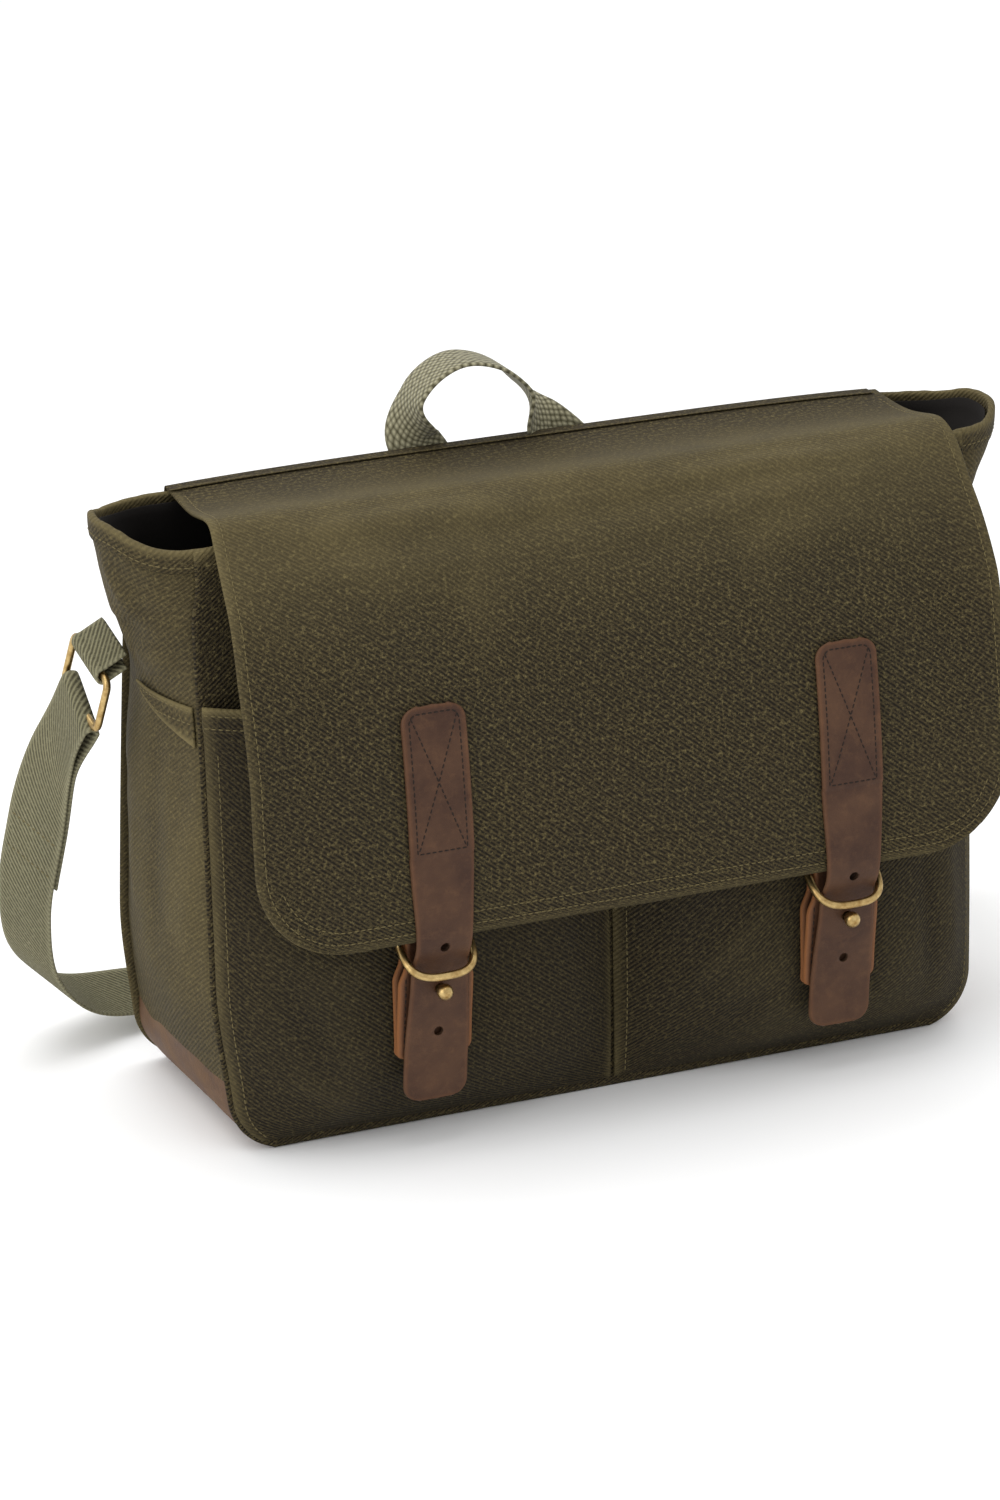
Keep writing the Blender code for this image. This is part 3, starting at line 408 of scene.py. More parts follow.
def crease(u, v, start, end, width, height):
    # a ridge (or groove, if height is negative) along a line: bell-shaped across, fading at its ends
    (u0, v0), (u1, v1) = start, end
    span = (u1 - u0) ** 2 + (v1 - v0) ** 2
    share = ((u - u0) * (u1 - u0) + (v - v0) * (v1 - v0)) / span
    away = np.hypot(u - u0 - share * (u1 - u0), v - v0 - share * (v1 - v0))
    ends = smoothStep(np.minimum(share, 1 - share) / 0.45 + 0.15)
    return height * np.exp(-(away / width) ** 2) * ends * (share > -0.1) * (share < 1.1)


def relaxed(grid):
    # the used bag: its left side has spread, its right wing is slacker and the rim has dropped in front
    x, y, z = grid[..., 0], grid[..., 1], grid[..., 2]
    spread = bag["leftSpread"] * smoothStep(z / 0.09) * (1 - 0.38 * smoothStep((z - 0.262) / 0.03))
    wide = np.where(x < 0, x * (1 + spread), x)
    slack = bag["rightSlack"] * smoothStep((z - 0.20) / 0.06) * (1 - smoothStep((z - 0.275) / 0.03))
    wide = np.where(x > halfWidth, halfWidth + (x - halfWidth) * (1 - slack), wide)
    corner = np.exp(-((x + 0.205) / 0.028) ** 2 - ((y + 0.042) / 0.026) ** 2)
    drop = (bag["frontDrop"] * smoothStep((-0.012 - y) / 0.02) + bag["cornerDrop"] * corner
            + bag["backDrop"] * smoothStep((y - 0.006) / 0.024))
    return np.stack([wide, y, z - drop * smoothStep((z - 0.262) / 0.046)], axis=-1)


def unit(vectors):
    return vectors / np.maximum(np.linalg.norm(vectors, axis=-1, keepdims=True), 1e-12)


def gridNormals(grid):
    return unit(np.cross(np.gradient(grid, axis=1), np.gradient(grid, axis=0)))


def raised(grid, height):
    return grid + gridNormals(grid) * height[..., None]


def facing(grid, outside):
    # true where the grid's normals look away from the outside, so that its columns have to be turned
    return np.mean(np.sum(gridNormals(grid) * np.asarray(outside), axis=-1)) < 0


def flatLengths(grid):
    # (across, down) lengths over a grid of points, in metres, for the weave
    across = np.cumsum(np.linalg.norm(np.diff(grid, axis=1, prepend=grid[:, :1]), axis=-1), axis=1)
    down = np.cumsum(np.linalg.norm(np.diff(grid, axis=0, prepend=grid[:1]), axis=-1), axis=0)
    across = across - across[:, grid.shape[1] // 2][:, None]
    return np.stack([across, np.broadcast_to(np.mean(down, axis=1)[:, None], across.shape)], axis=-1)


def quads(rows, columns):
    n = np.arange((rows - 1) * columns).reshape(rows - 1, columns)[:, :-1]
    return np.stack([n, n + 1, n + columns + 1, n + columns], axis=-1).reshape(-1, 4)


def shell(grid, thick, outside, wear=0.0, finishes=(0, 0, 0), flat=None, soft=0.75):
    # A closed sheet: the grid moved half its thickness each way along its normals, with a rounded rim.
    if flat is None:
        flat = flatLengths(grid)
    wear = np.broadcast_to(np.asarray(wear, float), grid.shape[:2])
    thick = np.broadcast_to(np.asarray(thick, float), grid.shape[:2])
    if facing(grid, outside):
        grid, flat, wear, thick = grid[:, ::-1], flat[:, ::-1], wear[:, ::-1], thick[:, ::-1]
    rows, columns = grid.shape[:2]
    normals = gridNormals(grid)
    half = (thick / 2)[..., None]
    outer, inner = grid + normals * half, grid - normals * half
    count = rows * columns
    index = np.arange(count).reshape(rows, columns)
    loop = np.concatenate([index[0, :-1], index[:-1, -1], index[-1, :0:-1], index[:0:-1, 0]])
    near = np.concatenate([index[1, :-1], index[:-1, -2], index[-2, :0:-1], index[:0:-1, 1]])
    flatGrid = grid.reshape(-1, 3)
    away = unit(flatGrid[loop] - flatGrid[near])
    corners = np.cumsum([0, columns - 1, rows - 1, columns - 1])
    for corner in corners:
        away[corner] = unit(away[corner] + away[corner - 1])
    rim = flatGrid[loop] + away * (thick.reshape(-1)[loop] / 2 * soft)[:, None]
    m = np.arange(len(loop))
    k = np.roll(m, -1)
    faces = quads(rows, columns)
    back = faces[:, ::-1] + count
    first = np.stack([loop[k], loop[m], 2 * count + m, 2 * count + k], axis=-1)
    second = np.stack([2 * count + k, 2 * count + m, count + loop[m], count + loop[k]], axis=-1)
    points = np.concatenate([outer.reshape(-1, 3), inner.reshape(-1, 3), rim])
    uv = np.concatenate([flat.reshape(-1, 2), flat.reshape(-1, 2), flat.reshape(-1, 2)[loop]])
    wornAndLit = np.concatenate([wear.reshape(-1), wear.reshape(-1), wear.reshape(-1)[loop]])
    every = np.concatenate([faces, back, first, second])
    finish = np.repeat(finishes + (finishes[2],), [len(faces), len(back), len(first), len(second)])
    return {"points": points, "faces": every, "uv": uv[every].reshape(-1, 2), "finish": finish,
            "wear": wornAndLit}


def outward(part):
    # turns a closed part's faces round if its signed volume is negative
    points, faces = part["points"], part["faces"]
    a, b, c = points[faces[:, 0]], points[faces[:, 1]], points[faces[:, 2]]
    size = faces.shape[1]
    volume = np.sum(a * np.cross(b, c))
    if size == 4:
        volume += np.sum(a * np.cross(c, points[faces[:, 3]]))
    if volume < 0:
        part["faces"] = faces[:, ::-1]
        part["uv"] = part["uv"].reshape(-1, size, 2)[:, ::-1].reshape(-1, 2)
    return part


def tube(path, radius, plane, sides=16, closed=True, finish=0, flatten=1.0):
    # round wire: circles about a path that lies in one plane; its ends, if open, close in small steps
    path = np.asarray(path, float)
    if closed:
        flow = unit(np.roll(path, -1, axis=0) - np.roll(path, 1, axis=0))
        radii = np.full(len(path), radius)
    else:
        flow = unit(np.gradient(path, axis=0))
        radii = np.full(len(path) + 6, radius)
        bend = np.array([0.02, 0.5, 0.86])
        radii[:3], radii[-3:] = radius * bend, radius * bend[::-1]
        back = radius * np.array([1.0, 0.86, 0.5])[:, None]
        path = np.concatenate([path[:1] - flow[:1] * back, path, path[-1:] + flow[-1:] * back[::-1]])
        flow = np.concatenate([np.repeat(flow[:1], 3, 0), flow, np.repeat(flow[-1:], 3, 0)])
    across = unit(np.broadcast_to(np.asarray(plane, float), path.shape))
    other = unit(np.cross(across, flow))
    turn = np.linspace(0, 2 * np.pi, sides, endpoint=False)
    ring = (np.cos(turn)[None, :, None] * other[:, None] * flatten
            + np.sin(turn)[None, :, None] * across[:, None])
    points = path[:, None] + ring * radii[:, None, None]
    rows = len(path)
    i = np.arange(rows if closed else rows - 1)[:, None]
    j = np.arange(sides)[None, :]
    ahead, beside = (i + 1) % rows, (j + 1) % sides
    faces = np.stack([i * sides + j, i * sides + beside, ahead * sides + beside, ahead * sides + j], axis=-1)
    faces = faces.reshape(-1, 4)
    caps = []
    if not closed:
        first = np.arange(0, sides // 2 - 1)
        low = np.stack([first + 1, first, sides - 1 - first, sides - 2 - first], axis=-1)
        caps = [low, (low + (rows - 1) * sides)[:, ::-1]]
    faces = np.concatenate([faces] + caps)
    reach = np.concatenate([[0], np.cumsum(np.linalg.norm(np.diff(path, axis=0), axis=1))])
    uv = np.stack(np.broadcast_arrays(turn[None, :] * radius, reach[:, None]), axis=-1).reshape(-1, 2)
    return outward({"points": points.reshape(-1, 3), "faces": faces, "uv": uv[faces].reshape(-1, 2),
                    "finish": np.full(len(faces), finish), "wear": np.zeros(rows * sides)})


def turnedPart(profile, centre, axis, sides=28, finish=0):
    # (radius, distance) points carried round an axis; the first and last radius are almost nothing
    profile = np.asarray(profile, float)
    axis = unit(np.asarray(axis, float))
    side = unit(np.cross(axis, (0.0, 0.0, 1.0) if abs(axis[2]) < 0.9 else (1.0, 0.0, 0.0)))
    other = np.cross(axis, side)
    turn = np.linspace(0, 2 * np.pi, sides, endpoint=False)
    ring = np.cos(turn)[:, None] * side + np.sin(turn)[:, None] * other
    points = (np.asarray(centre) + profile[:, 1][:, None, None] * axis
              + profile[:, 0][:, None, None] * ring[None])
    rows = len(profile)
    i, j = np.arange(rows - 1)[:, None], np.arange(sides)[None, :]
    faces = np.stack([i * sides + j, i * sides + (j + 1) % sides, (i + 1) * sides + (j + 1) % sides,
                      (i + 1) * sides + j], axis=-1).reshape(-1, 4)
    first = np.arange(0, sides // 2 - 1)
    low = np.stack([first + 1, first, sides - 1 - first, sides - 2 - first], axis=-1)
    faces = np.concatenate([faces, low, (low + (rows - 1) * sides)[:, ::-1]])
    uv = np.stack(np.broadcast_arrays(turn[None, :] * 0.004, profile[:, 1][:, None]), axis=-1).reshape(-1, 2)
    return outward({"points": points.reshape(-1, 3), "faces": faces, "uv": uv[faces].reshape(-1, 2),
                    "finish": np.full(len(faces), finish), "wear": np.zeros(rows * sides)})


def sampled(grid, rows, columns):
    # points of a grid at fractional rows and columns, by straight mixing of the four around
    rows = np.clip(rows, 0, grid.shape[0] - 1.001)
    columns = np.clip(columns, 0, grid.shape[1] - 1.001)
    i, j = rows.astype(int), columns.astype(int)
    s, t = (rows - i)[..., None], (columns - j)[..., None]
    top = grid[i, j] * (1 - t) + grid[i, j + 1] * t
    low = grid[i + 1, j] * (1 - t) + grid[i + 1, j + 1] * t
    return top * (1 - s) + low * s


seam = {"spacing": 0.0034, "length": 0.0026, "thick": 0.00062, "sunk": 0.05}


def stitches(path, normals, finish, look=seam):
    # one short fat capsule of thread for each stitch, along a path on a surface and half sunk in it
    path, normals = np.asarray(path), np.asarray(normals)
    reach = np.concatenate([[0], np.cumsum(np.linalg.norm(np.diff(path, axis=0), axis=1))])
    count = max(int(reach[-1] / look["spacing"]), 1)
    places = (np.arange(count) + 0.5) * reach[-1] / count
    centre = np.stack([np.interp(places, reach, path[:, n]) for n in range(3)], axis=-1)
    ahead = np.stack([np.interp(places + 0.0004, reach, path[:, n]) for n in range(3)], axis=-1)
    behind = np.stack([np.interp(places - 0.0004, reach, path[:, n]) for n in range(3)], axis=-1)
    flow = unit(ahead - behind)
    up = unit(np.stack([np.interp(places, reach, normals[:, n]) for n in range(3)], axis=-1))
    side = unit(np.cross(up, flow))
    up = np.cross(flow, side)
    stations = np.array([-0.5, -0.42, -0.2, 0.2, 0.42, 0.5]) * look["length"]
    widths = np.array([0.15, 0.7, 1.0, 1.0, 0.7, 0.15]) * look["thick"] / 2
    lifts = np.array([-0.55, -0.1, 0.0, 0.0, -0.1, -0.55]) * look["thick"]
    turn = np.linspace(0, 2 * np.pi, 6, endpoint=False)
    local = np.stack(np.broadcast_arrays(
        stations[:, None], widths[:, None] * np.cos(turn), widths[:, None] * np.sin(turn) * 0.8
        + lifts[:, None] + look["thick"] * look["sunk"]), axis=-1).reshape(-1, 3)
    basis = np.stack([flow, side, up], axis=1)
    points = centre[:, None] + np.einsum("mk,nkd->nmd", local, basis)
    i, j = np.arange(5)[:, None], np.arange(6)[None, :]
    one = np.stack([i * 6 + j, i * 6 + (j + 1) % 6, (i + 1) * 6 + (j + 1) % 6, (i + 1) * 6 + j],
                   axis=-1).reshape(-1, 4)
    caps = np.array([[1, 0, 5, 4], [1, 4, 3, 2], [34, 35, 30, 31], [31, 32, 33, 34]])
    one = np.concatenate([one, caps])
    faces = (one[None] + np.arange(count)[:, None, None] * 36).reshape(-1, 4)
    part = outward({"points": points.reshape(-1, 3), "faces": faces,
                    "uv": np.zeros((len(faces) * 4, 2)), "finish": np.full(len(faces), finish),
                    "wear": np.zeros(count * 36)})
    return part


def makePiece(name, parts, finishes):
    # joins parts into one mesh, with a cloth UV in metres and an attribute that holds both wear and painted light
    starts = np.cumsum([0] + [len(part["points"]) for part in parts])
    faces = np.concatenate([part["faces"] + start for part, start in zip(parts, starts)])
    mesh = bpy.data.meshes.new(name)
    mesh.from_pydata(np.concatenate([part["points"] for part in parts]).tolist(), [], faces.tolist())
    layer = mesh.uv_layers.new(name="cloth")
    layer.data.foreach_set("uv", np.concatenate([part["uv"] for part in parts]).astype(np.float32).ravel())
    wornAndLit = mesh.attributes.new("wear", "FLOAT", "POINT")
    wornAndLit.data.foreach_set("value", np.concatenate([part["wear"] for part in parts]).astype(np.float32))
    for finish in finishes:
        mesh.materials.append(finish)
    mesh.polygons.foreach_set("material_index", np.concatenate([part["finish"] for part in parts]).astype(int))
    mesh.polygons.foreach_set("use_smooth", np.ones(len(faces), bool))
    mesh.update()
    made = bpy.data.objects.new(name, mesh)
    bpy.context.scene.collection.objects.link(made)
    return made


def settle(piece, body, slotName, *nodes):
    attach(piece, body)
    if nodes:
        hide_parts(*nodes)
    return piece


def unitGrid(rows, columns):
    v, u = np.meshgrid(np.linspace(0, 1, rows), np.linspace(0, 1, columns), indexing="ij")
    return u, v

# Body of the bag: panels, gussets, hem and lining.

body = {
    "noiseWide": 0.085, "noiseFine": 0.030,
    "hemHeight": 0.0105, "hemThick": 0.0009,
}


def clothLift(x, z, mask, seed, wide, fine):
    # slow swells and finer puckers, both fading where the mask is nought
    return mask * (wide * softNoise(x, z, body["noiseWide"], seed)
                   + fine * softNoise(x, z, body["noiseFine"], seed + 1)
                   + fine * 0.4 * softNoise(x, z, body["noiseFine"] * 0.45, seed + 2))


def hemWear(distance, width=0.004):
    return 0.75 * np.exp(-(np.clip(distance, 0, None) / width) ** 2)


def makePanels():
    u, v = unitGrid(110, 150)
    z = 0.0008 + (bag["height"] - 0.0008) * v ** 1.2
    x = (2 * u - 1) * outlineHalf(z)
    mask = smoothStep(np.minimum(u, 1 - u) / 0.10) * smoothStep(v / 0.12)
    grid = np.stack([x, frontSkin(z) + bag["canvas"] / 2, z], axis=-1)
    lift = clothLift(x, z, mask * smoothStep((0.30 - z) / 0.05), 11, 0.0004, 0.0002)
    part = shell(relaxed(raised(grid, lift)), bag["canvas"], (0, -1, 0), hemWear(bag["height"] - z))
    piece = makePiece("frontPanel", [part], [waxedTwill])
    settle(piece, "bag", "waxed_canvas", "front_panel")

    grid = np.stack([x, backSkin(z) - bag["canvas"] / 2, z], axis=-1)
    quiet = smoothStep((0.252 - z) / 0.05)
    lift = clothLift(x, z, mask * quiet, 21, 0.0030, 0.0009)
    lift += mask * quiet * (crease(x, z, (-0.17, 0.06), (-0.02, 0.13), 0.012, 0.0016)
                            + crease(x, z, (0.16, 0.05), (0.05, 0.17), 0.014, 0.0018)
                            + crease(x, z, (-0.15, 0.22), (-0.06, 0.14), 0.010, -0.0012))
    grid = relaxed(grid + np.stack([0 * lift, lift, 0 * lift], axis=-1))
    wear = hemWear(bag["height"] - z) + 0.5 * hemWear(outlineHalf(z) - np.abs(x))
    parts = [shell(grid, bag["canvas"], (0, 1, 0), wear)]
    normals = gridNormals(grid)
    if np.mean(normals[..., 1]) < 0:
        normals = -normals
    rows, columns = np.linspace(3, 108, 260), np.full(260, 2.2)
    for side in (columns, 149 - columns):
        parts.append(stitches(sampled(grid, rows, side) + sampled(normals, rows, side) * bag["canvas"] / 2,
                              sampled(normals, rows, side), 1))
    piece = makePiece("backPanel", parts, [waxedTwill, tanThread])
    settle(piece, "bag", "waxed_canvas", "back_panel")


def gussetSurface(side, rows, columns, inset, top):
    # the side wall from the rim down, round the corner and under the base
    total = top - bag["corner"] + (bag["corner"] - inset) * np.pi / 2 - bag["gap"] / 2
    u, v = unitGrid(rows, columns)
    x, z = sideOutline(total * v, inset, top)
    turn = np.pi * u
    grid = sidePoint(x, z, turn, bag["canvas"] / 2)
    grid[..., 0] *= side
    return u, v, z, turn, grid


def makeGussets(side, word):
    inset = bag["leather"] + 2 * bag["gap"] + bag["canvas"] / 2
    _, _, z, turn, grid = gussetSurface(side, 170, 70, inset, bag["height"])
    across = np.sin(turn)
    y = grid[..., 1]
    mask = smoothStep(across / 0.5) * smoothStep((z - 0.052) / 0.03)
    lift = clothLift(y, z, mask, 31 if side < 0 else 41, 0.0018, 0.0008)
    # the wing is drawn in below the rim, where the strap tab pulls, and folds run down from there
    lift += mask * (crease(y, z, (-0.044, 0.272), (0.014, 0.246), 0.006, -0.0040)
                    + crease(y, z, (-0.046, 0.262), (0.020, 0.258), 0.005, 0.0022)
                    + crease(y, z, (0.000, 0.295), (-0.022, 0.255), 0.006, 0.0020)
                    + crease(y, z, (-0.036, 0.247), (0.000, 0.236), 0.006, 0.0020)
                    + crease(y, z, (-0.030, 0.290), (-0.012, 0.252), 0.007, -0.0016)
                    + crease(y, z, (-0.010, 0.225), (-0.002, 0.075), 0.010, -0.0014)
                    + crease(y, z, (-0.046, 0.200), (-0.034, 0.080), 0.009, 0.0012)
                    + crease(y, z, (0.020, 0.21), (0.036, 0.07), 0.012, 0.0014))
    quietTab = np.exp(-((y - bag["depth"] * 0.21) / 0.022) ** 2 - ((z - 0.236) / 0.02) ** 2)
    lift *= 1 - 0.9 * quietTab
    grid = relaxed(raised(grid, lift * (1 if not facing(grid, (side, 0, 0)) else -1)))
    # The 0.22 over the whole side wall is painted light, the side painted paler as the lit side; the paler raised
    # folds are partly crease wear, partly painted highlight.
    wear = hemWear(bag["height"] - z) + 0.12 * smoothStep(lift / 0.002) + 0.22
    parts = [shell(grid, bag["canvas"], (side, 0, 0), wear)]
    piece = makePiece(word + "Gusset", parts, [waxedTwill])
    settle(piece, "bag", "waxed_canvas", word + "_gusset")


def mouthPoint(along, z):
    # mid-surface of the mouth's wall: front rim, right wing, back rim, left wing; along runs 0 to 4
    leg = np.floor(along) % 4
    share = along - np.floor(along)
    half = halfWidth - 0.001
    mid = bag["canvas"] / 2
    wing = sidePoint(np.full_like(share, half - 0.0027), z, np.pi * np.clip(share, 0, 1), mid)
    points = np.zeros(np.broadcast(along, z).shape + (3,))
    points[..., 2] = z
    frontX, backX = half * (2 * share - 1), half * (1 - 2 * share)
    leftTurn = sidePoint(np.full_like(share, half - 0.0027), z, np.pi * (1 - np.clip(share, 0, 1)), mid)
    choose = [leg == 0, leg == 1, leg == 2, leg == 3]
    points[..., 0] = np.select(choose, [frontX, wing[..., 0], backX, -leftTurn[..., 0]])
    points[..., 1] = np.select(choose, [frontSkin(z) + mid, wing[..., 1], backSkin(z) - mid,
                                        leftTurn[..., 1]])
    return points


def smoothLoop(grid, width):
    # averages a closed loop of columns with its neighbours, to round its corners
    kernel = np.hanning(2 * width + 3)[1:-1]
    kernel /= kernel.sum()
    total = np.zeros_like(grid)
    for shift, weight in zip(range(-width, width + 1), kernel):
        total += weight * np.roll(grid, shift, axis=1)
    return total


def mouthBand(levels, offsets, count):
    # rows of points round the mouth: each at its height, moved out (or in) by its offset
    along = (np.arange(count) / count * 4 + 2.5) % 4
    base = mouthPoint(np.broadcast_to(along, (len(levels), count)), np.broadcast_to(levels[:, None],
                                                                                   (len(levels), count)))
    base = smoothLoop(base, 3)
    flow = np.roll(base, -1, axis=1) - np.roll(base, 1, axis=1)
    flow[..., 2] = 0
    out = unit(np.cross(unit(flow), (0, 0, 1)))
    grid = relaxed(base + out * offsets[:, None, None])
    return grid, out


def makeHem():
    top = bag["height"]
    lower = top - body["hemHeight"]
    off = bag["canvas"] / 2 + body["hemThick"] / 2
    bend = np.linspace(0, np.pi, 9)[1:-1]
    levels = np.concatenate([np.linspace(lower, top - 0.0004, 12), top - 0.0004 + 0.0010 * np.sin(bend),
                             np.linspace(top - 0.0004, lower, 12)])
    offsets = np.concatenate([np.full(12, off), off * np.cos(bend), np.full(12, -off)])
    grid, out = mouthBand(levels, offsets, 420)
    seamGrid = np.concatenate([grid, grid[:, :1]], axis=1)
    ripple = 0.0003 * softNoise(np.arange(421) * 0.0022, np.zeros(421), 0.009, 5)
    seamGrid[..., 2] += ripple[None, :] * (seamGrid[..., 2] > top - 0.006)
    outside = np.concatenate([out, out[:, :1]], axis=1) * np.sign(offsets)[:, None, None] \
        + np.array([0, 0, 0.2])
    wear = np.broadcast_to(0.55 * np.exp(-((levels - top) / 0.002) ** 2)[:, None], seamGrid.shape[:2])
    parts = [shell(seamGrid, body["hemThick"], outside, wear + 0.12)]
    level = np.array([top - 0.0075, top - 0.0075])
    for sign in (1, -1):
        line, normal = mouthBand(level, np.full(2, sign * (off + body["hemThick"] / 2)), 420)
        parts.append(stitches(line[0], normal[0] * sign, 1))
    piece = makePiece("mouthHem", parts, [waxedTwill, tanThread])
    settle(piece, "bag", "waxed_canvas")


def makeLining():
    floorZ = bag["leather"] + 2 * bag["gap"] + bag["canvas"] + bag["gap"] + 0.0025 + bag["gap"] \
        + bag["lining"] / 2
    inset = bag["leather"] + 2 * bag["gap"] + bag["canvas"] + 0.0014 + bag["lining"] / 2
    extra = bag["canvas"] / 2 + 0.0014 + bag["lining"] / 2
    levels = floorZ + (bag["height"] - 0.0035 - floorZ) * np.linspace(0, 1, 70) ** 1.2
    share = np.linspace(0, 1, 61)
    z = levels[:, None]
    right = sidePoint(outlineHalf(z, inset) + 0 * share, z, np.pi * share[None], bag["canvas"] / 2 + extra)
    right[..., 0] -= 0.0042 * np.sin(np.pi * share) * smoothStep((z - 0.06) / 0.04) * smoothStep((0.303 - z) / 0.02)
    left = right[:, ::-1] * np.array([-1, 1, 1])
    mix = np.linspace(0, 1, 90)[1:-1]
    back = right[:, -1:] * (1 - mix[None, :, None]) + left[:, :1] * mix[None, :, None]
    front = left[:, -1:] * (1 - mix[None, :, None]) + right[:, :1] * mix[None, :, None]
    grid = np.concatenate([back[:, 44:], left, front, right, back[:, :45]], axis=1)
    reach = np.arange(grid.shape[1]) * 0.004
    sag = 0.0012 * softNoise(reach[None] + 0 * z, z + 0 * reach[None], 0.05, 71)
    sag *= smoothStep((bag["height"] - z) / 0.03)
    middle = np.array([0, 0, 0.15])
    towards = unit((middle - grid) * np.array([1, 1, 0]))
    grid = relaxed(grid + towards * (sag + 0.0004)[..., None])
    parts = [shell(grid, bag["lining"], -towards)]
    u, v = unitGrid(30, 60)
    half = outlineHalf(floorZ, inset)
    deep = gussetHalf(floorZ, bag["canvas"] / 2 + extra)
    base = np.stack([(2 * u - 1) * half, (2 * v - 1) * deep, floorZ + 0 * u], axis=-1)
    parts.append(shell(base, bag["lining"], (0, 0, 1)))
    piece = makePiece("innerLining", parts, [liningCotton])
    settle(piece, "bag", "lining_cloth", "lining")


base = {"rise": 0.052, "edge": 0.0032, "seamDown": 0.0075}


def makeBase():
    inset = bag["leather"] / 2
    arc = (bag["corner"] - inset) * np.pi / 2
    halfLength = base["rise"] - bag["corner"] + arc + halfWidth - bag["corner"]
    u, v = unitGrid(321, 60)
    spread = 1 - 2 * np.abs(v - 0.5)
    length = halfLength * spread ** 1.15
    x, z = sideOutline(length, inset, base["rise"])
    side = np.where(v >= 0.5, 1, -1)
    grid = sidePoint(x, z, np.pi * u, bag["canvas"] / 2)
    grid[..., 0] *= side
    # outside points down under the base and out at the sides; a faint ripple lifts the leather except where it lies
    # flat underneath
    outside = np.stack([side * smoothStep(z / 0.02), 0 * z, -1 + smoothStep(z / 0.02)], axis=-1)
    lift = 0.0004 * softNoise(grid[..., 1], length, 0.02, 51)
    sign = -1 if facing(grid, outside) else 1
    grid = raised(grid, sign * lift * smoothStep((z - 0.004) / 0.01))
    wear = 0.9 * smoothStep((base["edge"] - length) / 0.0012) + 0.25 * np.exp(-((z - 0.010) / 0.008) ** 2) * (
        0.5 + 0.5 * softNoise(grid[..., 1], z, 0.01, 52))
    parts = [shell(grid, bag["leather"], outside, np.clip(wear, 0, 1), (0, 0, 1), soft=0.6)]
    normals = sign * gridNormals(grid)
    columns = np.linspace(1.5, 57.5, 160)
    for end in (0, 1):
        seamRow = np.interp(base["seamDown"], length[:, 0][:160], np.arange(160))
        rows = np.full(160, seamRow if end == 0 else 320 - seamRow)
        parts.append(stitches(sampled(grid, rows, columns) + sampled(normals, rows, columns) * inset,
                              sampled(normals, rows, columns), 2))
    piece = makePiece("leatherBase", parts, [baseLeather, rawEdge, brownThread])
    settle(piece, "bag", "oiled_leather", "leather_base")


makePanels()
for side, word in ((-1, "left"), (1, "right")):
    makeGussets(side, word)
makeHem()
makeLining()
makeBase()
print("body ready")

# Pockets and their ears.

pocket = {
    "top": 0.225, "bottom": 0.006, "bulge": 0.026, "space": 0.003, "hem": 0.012, "hemThick": 0.0009,
    "seams": (0.0028, 0.0090), "sideSeam": 0.0050,
    "earLength": 0.048, "earHeight": 0.019,
}
closure = {
    "x": 0.109, "top": 0.226, "split": 0.156, "tip": 0.027, "wide": 0.032, "waist": 0.0275,
    "corner": 0.008, "hole": 0.0024, "holeSpacing": 0.023, "seamIn": 0.0032,
    "studZ": 0.086, "ball": 0.0040, "neck": 0.0022, "flange": 0.0045, "reach": 0.0095, "space": 0.0019,
    "ringWire": 0.0020, "ringHalf": 0.0180, "ringDepth": 0.0227, "ringZ": 0.1095, "ringDroop": 40.0,
    "tabWide": 0.038, "tabNeck": 0.0300, "tabBottom": 0.049,
}


def pocketRise(z):
    share = (z - pocket["bottom"]) / (pocket["top"] - pocket["bottom"])
    return (1 - np.clip(1 - share / 0.25, 0, None) ** 2) * (1 - 0.15 * share * share)


def pocketMiddle(share, z):
    # pillow: the bulge times one minus the fourth power across, times the rise up the pocket
    swell = pocket["bulge"] * (1 - share ** 4) * pocketRise(z)
    return frontSkin(z) - bag["gap"] - bag["canvas"] / 2 - swell


